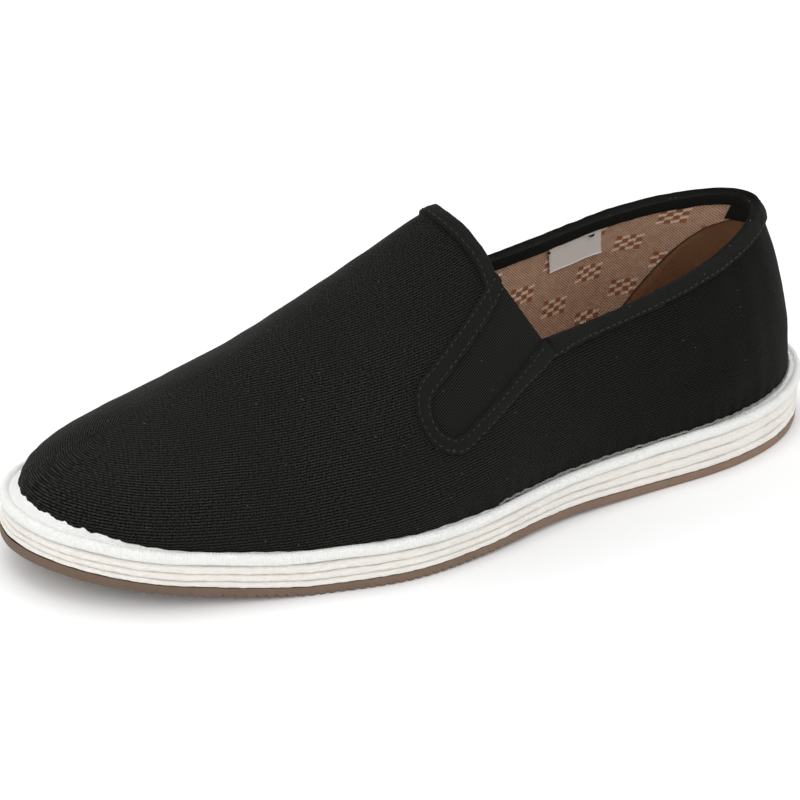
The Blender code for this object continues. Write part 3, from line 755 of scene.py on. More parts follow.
def lint_effect():
    """Stray pale specks caught on dark cloth, as a mask."""
    tree, net, given, result = new_effect(
        "lint specks",
        [
            ("Place", "NodeSocketVector", None),
            ("Amount", "NodeSocketFloat", 0.5),
        ],
        [("Speck", "NodeSocketFloat")],
    )
    cells = net.node("ShaderNodeTexVoronoi")
    net.feed(cells.inputs["Vector"], net.stretch(given[0], 0.42, 0.55))
    cells.inputs["Scale"].default_value = 1.0
    near = net.spread(cells.outputs["Distance"], 0.05, 0.12, 1.0, 0.0)
    chance = net.parts(cells.outputs["Color"])[0]
    chosen = net.math("LESS_THAN", chance, given[1])
    net.feed(result["Speck"], net.math("MULTIPLY", near, chosen))
    return tree


def tone_effect():
    """Slow drift of a colour between lighter and darker patches."""
    tree, net, given, result = new_effect(
        "colour drift",
        [
            ("Place", "NodeSocketVector", None),
            ("Size", "NodeSocketFloat", 20.0),
        ],
        [("Tone", "NodeSocketFloat")],
    )
    rough = net.noise(given[0], net.math("DIVIDE", 1.0, given[1]), 3, 0.55)
    net.feed(result["Tone"], net.spread(rough, 0.32, 0.68, smooth=True))
    return tree


# Repeat of the lining's figures. A place in millimetres times by_u and by_v, plus start,
# counts the steps of the repeat, and each step moves the figure by step_u and step_v.
LatticeRow = namedtuple("LatticeRow", "by_u by_v start step_u step_v")
LATTICE = [
    LatticeRow(0.03198, 0.0569, 1.4516, 12.48, 10.56),
    LatticeRow(0.03923, -0.04637, 3.6005, 15.31, -8.61),
]
CELL_WIDTH = 2.55
CELL_HEIGHT = 1.7
# A whole number that keeps counts above zero, where fractions of them are taken
ABOVE_ZERO = 20.0


class Finishes:
    """The node groups and the materials, each made once, when first asked for."""

    def __init__(self, colours):
        self.colours = colours
        self.made = {}
        self.weave = weave_effect()
        self.fuzz = fuzz_effect()
        self.lint = lint_effect()
        self.tone = tone_effect()

    def get(self, name):
        """The material of a name, made on its first use."""
        if name not in self.made:
            self.made[name] = getattr(self, name)()
        return self.made[name]

    def begin(self, name, roughness, sheen=0.0, sheen_roughness=0.5, specular=0.3):
        """A material, its nodes, its shader and its place in millimetres."""
        material = bpy.data.materials.new(name)
        material.use_nodes = True
        net = Net(material.node_tree)
        shader = material.node_tree.nodes["Principled BSDF"]
        shader.inputs["Roughness"].default_value = roughness
        shader.inputs["Sheen Weight"].default_value = sheen
        shader.inputs["Sheen Roughness"].default_value = sheen_roughness
        shader.inputs["Specular IOR Level"].default_value = specular
        place = net.node("ShaderNodeUVMap", uv_map="Millimetres").outputs[0]
        return material, net, shader, place

    def drift(self, net, place, size, share, base, other):
        """A colour that turns slowly to another in soft patches."""
        tone = net.group(self.tone, Place=place, Size=size)["Tone"]
        return net.mix(net.math("MULTIPLY", tone, share), base, other)

    def specks(self, net, place, amount, share, base, colour):
        """A colour with caught lint on it."""
        speck = net.group(self.lint, Place=place, Amount=amount)["Speck"]
        return net.mix(net.math("MULTIPLY", speck, share), base, colour)

    def surface(self, net, shader, base, height, distance):
        """Colour, and a bump of a depth in metres."""
        net.feed(shader.inputs["Base Color"], base)
        made = net.node("ShaderNodeBump")
        made.inputs["Strength"].default_value = 1.0
        made.inputs["Distance"].default_value = distance
        net.feed(made.inputs["Height"], height)
        net.feed(shader.inputs["Normal"], made.outputs[0])

    def dark_cloth(self, name, colour, line, thread, slant, depth, lint, contrast, heel_shade=False):
        """Black cotton: lines of the weave, slow drift of its tone and caught lint.

        With heel_shade, painted shade makes the lines weaker and darker towards the heel.
        """
        material, net, shader, place = self.begin(name, 0.92, 0.03, 0.45, 0.05)
        woven = net.group(
            self.weave, Place=place, Line_Pitch=line, Thread_Pitch=thread, Slant=slant
        )
        low = shade(colour, max(0.0, 1 - contrast))
        high = shade(colour, 1 + 2 * contrast)
        grain = net.noise(net.stretch(place, 1.6, 3.0), 1.0, 3, 0.7)
        grain = net.spread(grain, 0.35, 0.65)
        tone = net.math("MULTIPLY_ADD", woven["Thread"], 0.5, net.math("MULTIPLY", grain, 0.55))
        # painted shade: the tone is darkened and flattened towards the heel
        if heel_shade:
            calm = 0.35
            from_heel = net.math("ABSOLUTE", net.parts(place)[0])
            ahead = net.spread(from_heel, 40, 170, 0.25, 1.0)
            tone = net.math("MULTIPLY", net.math("SUBTRACT", tone, calm), ahead)
            tone = net.spread(net.math("ADD", tone, calm), 0.3, 1.0)
        base = net.mix(tone, low, high)
        base = self.drift(net, place, 26.0, 0.3, base, shade(colour, 1.2))
        base = self.specks(net, place, lint, 0.5, base, (0.16, 0.15, 0.13))
        self.surface(net, shader, base, woven["Height"], depth)
        return material

    def twill(self):
        """Black twill of the upper."""
        return self.dark_cloth(
            "black twill", self.colours.twill, line=0.84, thread=0.9, slant=0.10,
            depth=0.0001, lint=0.12, contrast=2.6, heel_shade=True,
        )

    def tape(self):
        """Black tape of the bindings."""
        return self.dark_cloth(
            "binding tape", self.colours.tape, line=0.6, thread=0.6, slant=0.7,
            depth=0.00008, lint=0.3, contrast=0.5,
        )

    def elastic(self):
        """Ribs along the gusset with fine threads across them."""
        material, net, shader, place = self.begin("ribbed elastic", 0.88, 0.03, 0.4, 0.06)
        across, along = net.parts(place)
        rib = net.wave(across, 0.58)
        tie = net.wave(along, 0.6)
        woven = net.math("MULTIPLY", rib, net.math("MULTIPLY_ADD", tie, 0.65, 0.35))
        colour = self.colours.elastic
        base = net.mix(woven, shade(colour, 0.15), shade(colour, 3.1))
        base = self.specks(net, place, 0.2, 0.4, base, (0.14, 0.13, 0.12))
        self.surface(net, shader, base, woven, 0.00007)
        return material

    def lining(self):
        """Tan twill with clusters of small brown and cream lozenges on a half-drop repeat."""
        material, net, shader, place = self.begin("figured lining", 0.9, 0.1, 0.5, 0.15)
        woven = net.group(
            self.weave, Place=place, Line_Pitch=0.95, Thread_Pitch=1.3, Slant=0.9
        )
        across, up = net.parts(place)
        steps = []
        for row in LATTICE:
            moved = net.math("MULTIPLY_ADD", up, row.by_v, row.start + ABOVE_ZERO + 0.5)
            whole = net.math("FRACT", net.math("MULTIPLY_ADD", across, row.by_u, moved))
            steps.append(net.math("SUBTRACT", whole, 0.5))
        cells, insides = [], []
        for name, cell in (("step_u", CELL_WIDTH), ("step_v", CELL_HEIGHT)):
            first, second = column(LATTICE, name)
            local = net.math("MULTIPLY", steps[1], second)
            local = net.math("MULTIPLY_ADD", steps[0], first, local)
            cells.append(net.math("MULTIPLY_ADD", local, 1 / cell, ABOVE_ZERO))
            insides.append(net.math("LESS_THAN", net.math("ABSOLUTE", local), cell * 2))
        cell_u, cell_v = cells
        cluster = net.math("MULTIPLY", *insides)
        both = net.math("ADD", net.math("FLOOR", cell_u), net.math("FLOOR", cell_v))
        odd = net.math("GREATER_THAN", net.math("MODULO", both, 2.0), 0.5)
        fray = net.math("MULTIPLY_ADD", net.noise(place, 1.6, 2, 0.6), 0.5, -0.25)
        in_u = net.math("SUBTRACT", net.math("FRACT", cell_u), 0.5)
        in_v = net.math("SUBTRACT", net.math("FRACT", cell_v), 0.5)
        wide = net.math("ABSOLUTE", net.math("ADD", in_u, net.math("MULTIPLY", fray, 0.6)))
        square = net.math("LESS_THAN", wide, 0.40)
        brown = net.math("MULTIPLY", cluster, net.math("MULTIPLY", odd, square))
        tilted = net.math("MULTIPLY_ADD", in_u, -0.3, net.math("ADD", in_v, fray))
        dash = net.math("LESS_THAN", net.math("ABSOLUTE", tilted), 0.30)
        even = net.math("SUBTRACT", 1.0, odd)
        cream = net.math("MULTIPLY", cluster, net.math("MULTIPLY", even, dash))
        colour = self.colours.lining
        base = net.mix(woven["Thread"], self.colours.lining_thread, shade(colour, 1.25))
        base = self.drift(net, place, 3.0, 0.25, base, shade(colour, 1.35))
        base = net.mix(net.math("MULTIPLY", brown, 0.9), base, self.colours.figure)
        base = net.mix(net.math("MULTIPLY", cream, 0.95), base, screen(255, 238, 216))
        self.surface(net, shader, base, woven["Height"], 0.0002)
        return material

    def sock(self):
        """Brown cotton of the heel patch and the sock."""
        material, net, shader, place = self.begin("brown sock", 0.85, 0.15, 0.5, 0.2)
        woven = net.group(
            self.weave, Place=place, Line_Pitch=0.6, Thread_Pitch=0.55, Slant=0.4
        )
        colour = self.colours.sock
        base = net.mix(woven["Thread"], shade(colour, 0.75), shade(colour, 1.25))
        base = self.drift(net, place, 14.0, 0.35, base, shade(colour, 1.5))
        self.surface(net, shader, base, woven["Height"], 0.00012)
        return material

    def white_cotton(self, name, colour, size, depth, shadow, cross=0.0):
        """Matted white cotton, with painted shade in its hollows, and cross ribs of a pitch
        whose crests lift that shade.
        """
        material, net, shader, place = self.begin(name, 0.95, 0.25, 0.6, 0.1)
        matted = net.group(self.fuzz, Place=place, Size=size)
        # painted shade: hollows of the fuzz are darkened by the shadow share
        hollow = net.spread(matted["Height"], 0.35, 0.8)
        base = net.mix(hollow, shade(colour, shadow), colour)
        base = self.drift(net, place, 9.0, 0.3, base, shade(colour, 0.93))
        height = matted["Height"]
        if cross:
            rib = net.wave(net.parts(place)[0], cross)
            height = net.math("MULTIPLY_ADD", rib, 0.6, height)
            base = net.mix(net.math("MULTIPLY", rib, 0.5), base, colour)
        self.surface(net, shader, base, height, depth)
        return material

    def cord(self):
        """White cord with its cross ribs."""
        return self.white_cotton(
            "ribbed cord", self.colours.cord, size=0.8, depth=0.00018, shadow=0.92, cross=0.9
        )

    def layer(self):
        """White cloth of the sole's layers."""
        return self.white_cotton(
            "sole layers", self.colours.layer, size=1.2, depth=0.00022, shadow=0.92
        )

    def ledge(self):
        """White fuzz between cord and upper."""
        return self.white_cotton(
            "fuzzy ledge", self.colours.ledge, size=0.7, depth=0.0002, shadow=0.95
        )

    def selvage(self):
        """Grey line where the upper meets the ledge."""
        return self.white_cotton(
            "grey selvage", screen(150, 149, 148), size=0.5, depth=0.0003, shadow=0.7
        )

    def rubber(self):
        """Tan sole rubber, matt, with a fine crumb, and painted shade that darkens it towards
        the toe.
        """
        material, net, shader, place = self.begin("tan rubber", 0.7, 0.0, 0.5, 0.35)
        coords = net.node("ShaderNodeNewGeometry").outputs["Position"]
        crumb = net.noise(coords, 1800.0, 3, 0.7)
        colour = self.colours.rubber
        base = net.mix(crumb, shade(colour, 0.75), shade(colour, 1.25))
        base = self.drift(net, place, 12.0, 0.4, base, shade(colour, 1.35))
        # painted shade: the rubber grows darker towards the toe
        ahead = net.spread(net.parts(coords)[0], -0.12, 0.12, 0.0, 0.62)
        base = net.mix(ahead, base, shade(colour, 0.35))
        net.feed(shader.inputs["Roughness"], net.spread(crumb, 0.3, 0.7, 0.6, 0.85))
        self.surface(net, shader, base, crumb, 0.00018)
        return material

    def label(self):
        """Bare white satin label, finely ribbed across."""
        material, net, shader, place = self.begin("woven label", 0.6, 0.1, 0.4, 0.3)
        rib = net.wave(net.parts(place)[1], 0.4)
        fleck = net.noise(place, 2.2, 2)
        base = net.mix(rib, screen(248, 242, 238), screen(255, 253, 250))
        base = net.mix(net.math("MULTIPLY", fleck, 0.2), base, screen(200, 192, 186))
        self.surface(net, shader, base, rib, 0.00006)
        return material

    def thread(self, name, colour):
        """Sewing thread with its twist."""
        material, net, shader, place = self.begin(name, 0.8, 0.1, 0.4, 0.25)
        across, around = net.parts(place)
        ply = net.wave(net.math("MULTIPLY_ADD", across, 6.0, around), 2.1)
        base = net.mix(ply, shade(colour, 0.6), shade(colour, 1.15))
        self.surface(net, shader, base, ply, 0.00008)
        return material

    def pale_thread(self):
        """Thread of the tapes."""
        return self.thread("pale stitching", self.colours.stitch)

    def dark_thread(self):
        """Thread of the label and of the heel lining."""
        return self.thread("dark stitching", screen(52, 50, 50))

    def black_patch(self):
        """Black tab at the back seam."""
        return self.dark_cloth(
            "heel tab", screen(30, 29, 28), line=0.7, thread=0.6, slant=0.3,
            depth=0.0001, lint=0.1, contrast=0.4,
        )


# Values that a user would change


class ShoeSizes(bpy.types.PropertyGroup):
    pucker_depth: bpy.props.FloatProperty(
        name="Puckers", description="Depth of the pull of the lasting at the sole",
        default=0.00022, unit="LENGTH", precision=5,
    )
    stitch_length: bpy.props.FloatProperty(
        name="Stitch length", description="Length of one stitch of the tapes",
        default=0.0016, unit="LENGTH", precision=5,
    )
    stitch_gap: bpy.props.FloatProperty(
        name="Stitch gap", description="Cloth between two stitches of a row",
        default=0.0009, unit="LENGTH", precision=5,
    )
    thread_width: bpy.props.FloatProperty(
        name="Thread", description="Thickness of the sewing thread",
        default=0.00034, unit="LENGTH", precision=5,
    )
    collar_width: bpy.props.FloatProperty(
        name="Collar binding", description="Width of the collar's binding on the outside",
        default=0.0050, unit="LENGTH", precision=4,
    )
    fuzz_depth: bpy.props.FloatProperty(
        name="Layer unevenness", description="How far the cloth layers of the sole wander",
        default=0.00028, unit="LENGTH", precision=5,
    )


def colour_property(name, description, value):
    """A colour that a user would change."""
    return bpy.props.FloatVectorProperty(
        name=name, description=description, subtype="COLOR", size=3, min=0, max=1, default=value
    )


class ShoeColours(bpy.types.PropertyGroup):
    twill: colour_property("Twill", "Black cotton of the upper", screen(19, 19, 17))
    tape: colour_property("Tape", "Binding of the collar and gussets", screen(22, 23, 21))
    elastic: colour_property("Elastic", "Ribbed elastic of the gussets", screen(23, 24, 22))
    lining: colour_property("Lining", "Tan ground of the lining", screen(218, 186, 162))
    lining_thread: colour_property(
        "Lining thread", "Darker thread between the lines of the lining", screen(168, 124, 94)
    )
    figure: colour_property("Figure", "Brown lozenges of the lining", screen(172, 98, 56))
    sock: colour_property("Sock", "Brown cotton under and behind the heel", screen(124, 86, 56))
    cord: colour_property("Cord", "White cord round the sole", screen(243, 243, 240))
    layer: colour_property("Layers", "Cloth layers of the sole", screen(240, 236, 229))
    ledge: colour_property("Ledge", "Cotton between cord and upper", screen(253, 253, 251))
    rubber: colour_property("Rubber", "Tan outsole", screen(126, 104, 88))
    stitch: colour_property("Stitching", "Pale thread of the tapes", screen(43, 45, 43))


STATE = {}


def finishes():
    """The materials, made when a step first asks for one."""
    if "finishes" not in STATE:
        STATE["finishes"] = Finishes(bpy.context.scene.shoe_colours)
    return STATE["finishes"]


def sizes():
    """The sizes that a user may change."""
    return bpy.context.scene.shoe_sizes


# Upper


def crease_depth(side, points):
    """Push along the normal from the listed creases."""
    total = np.zeros(points.shape[:-1])
    x, z = points[..., 0] * MM, points[..., 2] * MM
    for row in CREASES:
        if row.side != side:
            continue
        run = np.radians(row.run)
        along = (x - row.x) * np.cos(run) + (z - row.z) * np.sin(run)
        across = (z - row.z) * np.cos(run) - (x - row.x) * np.sin(run)
        bend = across + 0.02 * along**2 / row.width
        fade = np.exp(-((along / row.length) ** 2) * 1.4 - (bend / row.width) ** 2)
        total += row.depth / MM * fade
    return total


def wall_grid(side, distance, stations, rows, relief=0.0, pucker=0.0):
    """Fine grid over one side of the last, with the cloth's own unevenness."""
    turn = np.linspace(0, 1, stations)
    rise = np.linspace(0, 1, rows)
    grid_turn, grid_rise = np.meshgrid(turn, rise, indexing="ij")
    point, normal, _, _ = last_frame(side, grid_turn, grid_rise)
    to_ridge = np.clip((1 - grid_rise) / 0.3, 0, 1) ** 2
    push = np.full(grid_turn.shape, float(distance))
    if relief:
        soft = ripple(point, 0.038, 5) * 0.00035 + ripple(point, 0.014, 9) * 0.00012
        ends = np.minimum(1, np.minimum(grid_turn, 1 - grid_turn) / 0.06)
        push += relief * (soft + crease_depth(side, point) * to_ridge) * ends
    if pucker:
        gone = lengths_along(point[:, 0])
        pull = np.sin(gone * 2 * pi / 0.0062 + 2 * np.sin(gone * 90)) ** 3
        height = point[..., 2] - point[:, :1, 2]
        push += pucker * pull[:, None] * np.exp(-((height / 0.0055) ** 2))
    placed = point + normal * push[..., None]
    placed[:, 0, 2] = point[:, 0, 2]
    gone = point[..., 0] + SOLE_LENGTH / 2
    places = np.stack([gone * side, across_lengths(point)], -1) * MM
    return placed, places, point


def close_seam(first, second):
    """Makes two sides' grids meet along the ridge and at both ends."""
    middle = (first[:, -1] + second[:, -1]) / 2
    first[:, -1] = middle
    second[:, -1] = middle
    ends = (first[[0, -1]] + second[[0, -1]]) / 2
    first[[0, -1]] = ends
    second[[0, -1]] = ends


def cells_kept(point):
    """Cells of a wall grid that the opening and the gusset leave, under their tapes."""
    opening_inset, gore_inset = 0.0018, 0.0008
    middle = (point[:-1, :-1] + point[1:, 1:]) / 2
    cut = in_opening(middle, opening_inset)
    return ~(cut | inside_gore(middle[..., 0], middle[..., 2], gore_inset))


def make_skin(name, distance, stations, rows, material, relief, pucker, inward):
    """One skin of the upper, cut to the opening and the gussets."""
    pile = Pile()
    grids = [
        wall_grid(side, distance, stations, rows, relief, pucker) for side in (LATERAL, MEDIAL)
    ]
    close_seam(grids[0][0], grids[1][0])
    for (placed, places, point), side in zip(grids, (LATERAL, MEDIAL)):
        pile.grid(placed, places, cells_kept(point), flip=(side > 0) == inward)
    return pile.make(name, material)


class SHOE_OT_upper(bpy.types.Operator):
    """Twill skin, figured lining, heel patches and label"""

    bl_idname = "shoe.upper"
    bl_label = "Upper and lining"

    def execute(self, context):
        look = finishes()
        skin = make_skin(
            "twill_skin", 0.0, 330, 76, look.get("twill"), 1.0, sizes().pucker_depth, False
        )
        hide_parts("upper")
        lining = make_skin("lining", -WALL, 230, 56, look.get("lining"), 0.5, 0.0, True)
        make_heel_patch(look.get("sock"))
        make_patch_edge(look.get("dark_thread"))
        make_heel_tab(look.get("black_patch"))
        label = make_label(look.get("label"))
        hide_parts("size_label")
        make_label_stitches(look.get("dark_thread"))
        return {"FINISHED"}


# Edge of the brown heel lining in the side view, from the sole to the collar
PatchRow = namedtuple("PatchRow", "height x")
HEEL_PATCH = [
    PatchRow(0.0180, -0.0920),
    PatchRow(0.0260, -0.0955),
    PatchRow(0.0340, -0.1000),
    PatchRow(0.0420, -0.1045),
    PatchRow(0.0490, -0.1085),
    PatchRow(0.0550, -0.1130),
    PatchRow(0.0600, -0.1185),
    PatchRow(0.0628, -0.1245),
    PatchRow(0.0636, -0.1300),
]


HEEL_PATCH_FOOT = 0.0185
HEEL_PATCH_TOP = 0.0624
HEEL_PATCH_DEPTH = 0.0006


def patch_front(height):
    """Front edge of the heel lining at a height."""
    return curve_through(column(HEEL_PATCH, "height"), column(HEEL_PATCH, "x"), height)


def inner_patch(side, low, high, front, distance, rows=26, columns=16):
    """Patch inside the heel between two heights, from a front edge back to the middle."""
    height = np.linspace(low, high, rows)
    front_turn, _ = on_wall(side, front(height), height)
    share = np.linspace(0, 1, columns)
    turn = front_turn[:, None] * share[None]
    level = np.broadcast_to(height[:, None], turn.shape)
    rise = solve(lambda v: last(side, turn, v)[..., 2] > level, 0 * turn, 0 * turn + 1, 30)
    points = offset_last(side, turn, rise, distance)
    return points, np.stack([across_lengths(points) * side, level], -1) * MM


def make_heel_patch(material):
    """Brown lining of the heel with a thin rolled edge."""
    pile = Pile()
    for side in (LATERAL, MEDIAL):
        reach = (side, HEEL_PATCH_FOOT, HEEL_PATCH_TOP, patch_front)
        points, places = inner_patch(*reach, -WALL - HEEL_PATCH_DEPTH)
        under, _ = inner_patch(*reach, -WALL + 0.0001)
        pile.grid(points, places, flip=side > 0)
        edge = np.stack([points[:, -1], under[:, -1]], 1)
        pile.grid(edge, np.stack([places[:, -1], places[:, -1]], 1), flip=side > 0)
    return pile.make("heel_lining", material)


def make_patch_edge(material):
    """Dark thread that binds the front edge of the heel lining."""
    pile = Pile()
    thick = 0.00022
    height = np.linspace(HEEL_PATCH_FOOT, HEEL_PATCH_TOP + 0.0010, 120)
    angle = np.linspace(0, 2 * pi, 7)
    across = patch_front(height)[:, None] + thick * np.cos(angle)
    level = np.broadcast_to(height[:, None], across.shape)
    depth = WALL + HEEL_PATCH_DEPTH + thick * np.sin(angle)
    for side in (LATERAL, MEDIAL):
        turn, rise = on_wall(side, across, level)
        points = offset_last(side, turn, rise, -depth)
        pile.grid(points, np.stack([across, level], -1) * MM, flip=side > 0)
    return pile.make("heel_lining_edge", material)


def make_heel_tab(material):
    """Black tab of the seam at the back of the heel, under the tape."""
    pile = Pile()
    low, high, front = 0.0626, 0.0745, -0.1195
    for side in (LATERAL, MEDIAL):
        points, places = inner_patch(
            side, low, high, lambda z: front - 0 * z, -WALL - 0.0009, 10, 10
        )
        pile.grid(points, places, flip=side > 0)
    return pile.make("heel_tab", material)


def make_label(material):
    """Bare woven label under the inner tape, bowed a little off the lining."""
    rows, columns = 14, 30
    length, height = 0.0205, 0.0102
    under_collar, lean = 0.0050, 0.28
    x = LABEL_X + np.linspace(-length / 2, length / 2, columns)
    drop = under_collar + np.linspace(0, height, rows)
    grid_drop, grid_x = np.meshgrid(drop, x, indexing="ij")
    grid_x = grid_x - lean * (grid_drop - drop[0])
    flat = np.stack([grid_x, grid_drop], -1) * MM
    turn, rise = on_wall(MEDIAL, grid_x, collar_line(grid_x, -BALL_WIDTH) - grid_drop)
    share = (grid_drop - drop[0]) / height
    lift = 0.00045 + 0.0005 * share**2 + 0.00012 * np.sin(grid_x * 520)
    face = offset_last(MEDIAL, turn, rise, -WALL - lift)
    back = offset_last(MEDIAL, turn, rise, -WALL - lift + 0.0003)
    pile = Pile()
    pile.grid(face, flat)
    pile.grid(back, flat, flip=True)
    for edge, inner, places in (
        (face[:, 0], back[:, 0], flat[:, 0]),
        (face[:, -1], back[:, -1], flat[:, -1]),
        (face[-1], back[-1], flat[-1]),
    ):
        pile.grid(np.stack([edge, inner], 1), np.stack([places, places], 1))
    return pile.make("woven_label", material)


def make_label_stitches(material):
    """Dark stitches that hold the label's two upper corners."""
    pile = Pile()
    for place, length in ((LABEL_X - 0.0078, 0.0022), (LABEL_X + 0.0096, 0.0012)):
        x = place + np.linspace(0, length, 2)
        z = collar_line(x, -BALL_WIDTH) - 0.0060
        turn, rise = on_wall(MEDIAL, x, z)
        points = offset_last(MEDIAL, turn, rise, -WALL - 0.0007)
        _, normal, _, _ = last_frame(MEDIAL, turn, rise)
        stitch(pile, points[0], points[1], -normal[0], 0.0007, 0.0003)
    return pile.make("label_stitches", material, join=False)


# Tapes


def fold_profile(outer, inner):
    """Section of a folded tape: depth into the cloth and distance from its outer face."""
    roll = WALL / 2 + ROLL_LIP
    roll_end, full_lip = 0.0006, 0.0026

    def lip(depth):
        return np.interp(depth, (roll_end, full_lip), (ROLL_LIP + 0.0001, TAPE_LIP))

    rows = [(outer, 0.0001), (outer, TAPE_LIP * 0.7), (outer - 0.0003, TAPE_LIP)]
    rows += [(depth, lip(depth)) for depth in np.linspace(outer - 0.0012, roll_end, 8)]
    for angle in np.linspace(0.12, pi - 0.12, 9):
        rows.append((-ROLL_LIP * 1.6 * np.sin(angle), -WALL / 2 + roll * np.cos(angle)))
    rows += [(depth, -WALL - lip(depth)) for depth in np.linspace(roll_end, inner - 0.0003, 6)]
    rows += [(inner, -WALL - TAPE_LIP * 0.7), (inner, -WALL)]
    return np.array(rows)


def tape_point(side, turn, rise, way, depth, distance):
    """Point of a tape at a depth from its edge, or past the edge where depth is negative."""
    _, _, along, climb = last_frame(side, turn, rise)
    slope = along * way[0] + climb * way[1]
    speed = np.linalg.norm(slope, axis=-1)
    reach = np.maximum(depth, 0) / speed
    place = np.clip(rise + way[1] * reach, 0, 1)
    point = offset_last(side, turn + way[0] * reach, place, distance)
    return point - slope / speed[..., None] * np.minimum(depth, 0)[..., None]


# Length over which the collar's tape thins to its end, and over which its roll stands
# taller round the heel
COLLAR_END = 0.0045
HEEL_ROLL = 0.03


def fillet():
    """Side view of the edge that leads from the collar's tape into the gusset's border."""
    width = sizes().collar_width
    leg = gore_outline(np.linspace(0.6, 1.01, 400), BORDER_WIDTHS[1])
    gap = np.abs(leg[:, 1] - collar_line(leg[:, 0], BALL_WIDTH) + width)
    at = gap.argmin()
    corner = leg[at]
    fall = lengths_along(leg)
    end = leg[np.abs(fall[at] - fall - FILLET_ARM).argmin()]
    start_x = corner[0] - FILLET_ARM
    start = np.array([start_x, collar_line(start_x, BALL_WIDTH) - width])
    share = np.linspace(0, 1, 60)[:, None]
    return start * (1 - share) ** 2 + corner * 2 * share * (1 - share) + end * share**2


def flare(side, turn):
    """Extra width of the collar's outer leg where it runs into the gusset's border."""
    curve = fillet()
    x = last(side, turn, collar_rise(side, turn))[..., 0]
    height = np.interp(x, curve[:, 0], curve[:, 1])
    extra = collar_line(x, BALL_WIDTH) - height - sizes().collar_width
    return np.where(x > curve[0, 0], extra, 0)


def border_extra(path):
    """Extra width of the gusset's border beside its upper rear end."""
    curve = fillet()
    depth, offset = gore_place(curve[:, 0], curve[:, 1])
    edge = gore_outline(path, BORDER_WIDTHS[1])
    edge_depth, edge_offset = gore_place(edge[:, 0], edge[:, 1])
    extra = edge_offset - np.interp(edge_depth, depth, offset)
    rear = (edge_offset < 0) & (edge_depth < depth[-1])
    return np.where(rear, np.clip(extra, 0, 0.0012), 0)


def make_folded(name, runs, way, profile, material, flared=False):
    """Folded tape over a cut edge. runs gives side, turn and rise of each half.

    The collar's is flared: it widens into the gussets and thins at its ends.
    """
    sections = []
    for side, turn, rise in runs:
        depth = np.broadcast_to(profile[:, 0], (len(turn), len(profile)))
        distance = np.broadcast_to(profile[:, 1], depth.shape)
        if flared:
            outer = (profile[:, 1] > 0) & (profile[:, 0] > 0)
            share = np.where(outer, profile[:, 0] / profile[0, 0], 0)
            depth = depth + flare(side, turn)[:, None] * share
            x = last(side, turn, rise)[..., 0]
            near_end = np.clip((x - x.max() + COLLAR_END) / COLLAR_END, 0, 1)
            thin = (1 - 0.6 * near_end**1.5)[:, None]
            tall = 1 + 0.8 * np.exp(-(((x + SOLE_LENGTH / 2) / HEEL_ROLL) ** 2))[:, None]
            depth = np.where(depth < 0, depth * thin * tall, depth)
            distance = np.where(distance > 0, distance * thin, distance)
        wide_turn = np.broadcast_to(turn[:, None], depth.shape)
        wide_rise = np.broadcast_to(rise[:, None], depth.shape)
        half = tape_point(side, wide_turn, wide_rise, way, depth, distance)
        sections.append(half[::-1] if side > 0 else half[1:])
    points = np.concatenate(sections)
    gone = lengths_along(points[:, 12])
    outward = np.gradient(points, axis=0)
    across = np.gradient(points, axis=1)
    normal = np.cross(across, outward)
    normal /= np.maximum(np.linalg.norm(normal, axis=-1, keepdims=True), 1e-9)
    fade = np.minimum(1, np.minimum(gone, gone[-1] - gone) / 0.006)
    uneven = ripple(points, 0.011, 21) * 0.00016 + ripple(points, 0.004, 22) * 0.00006
    points = points + normal * (uneven * fade[:, None])[..., None]
    places = flat_places(gone, across_lengths(points))
    pile = Pile()
    pile.grid(points, places, flip=True)
    for end in (0, -1):
        lid = np.stack([points[end], points[end][::-1]], 0)
        pile.grid(lid, np.stack([places[end], places[end][::-1]], 0))
    return pile.make(name, material)


def edge_rows(runs, way, depth, distance, flared=False):
    """Path and normals at one depth on a folded tape, through both halves."""
    paths, normals = [], []
    for side, turn, rise in runs:
        reach = depth + (flare(side, turn) if flared else 0 * turn)
        path = tape_point(side, turn, rise, way, reach, distance)
        _, normal, _, _ = last_frame(side, turn, rise)
        normal = normal * (1 if distance > 0 else -1)
        paths.append(path[::-1] if side > 0 else path[1:])
        normals.append(normal[::-1] if side > 0 else normal[1:])
    return np.concatenate(paths), np.concatenate(normals)


def collar_runs(count):
    """Turn and rise of the collar's edge on each side, from the heel to the gusset."""
    runs = []
    for side in (LATERAL, MEDIAL):
        corner, _ = on_wall(side, GORE_REAR_X + 0.001, GORE_REAR_Z)
        turn = np.linspace(0, float(corner), count)
        runs.append((side, turn, collar_rise(side, turn)))
    return runs


def vamp_runs(count):
    """Turn and rise of the vamp's top edge on each side, from the ridge to the gusset."""
    runs = []
    for side in (LATERAL, MEDIAL):
        _, foot_rise = on_wall(side, GORE_FRONT_X, GORE_FRONT_Z - 0.0005)
        rise = np.linspace(float(foot_rise), 1, count)

        def past_edge(turn):
            point = last(side, turn, rise)
            return point[..., 0] > vamp_line(point[..., 2])

        turn = solve(past_edge, 0 * rise + 0.2, 0 * rise + 0.8)
        runs.append((side, turn[::-1], rise[::-1]))
    return runs


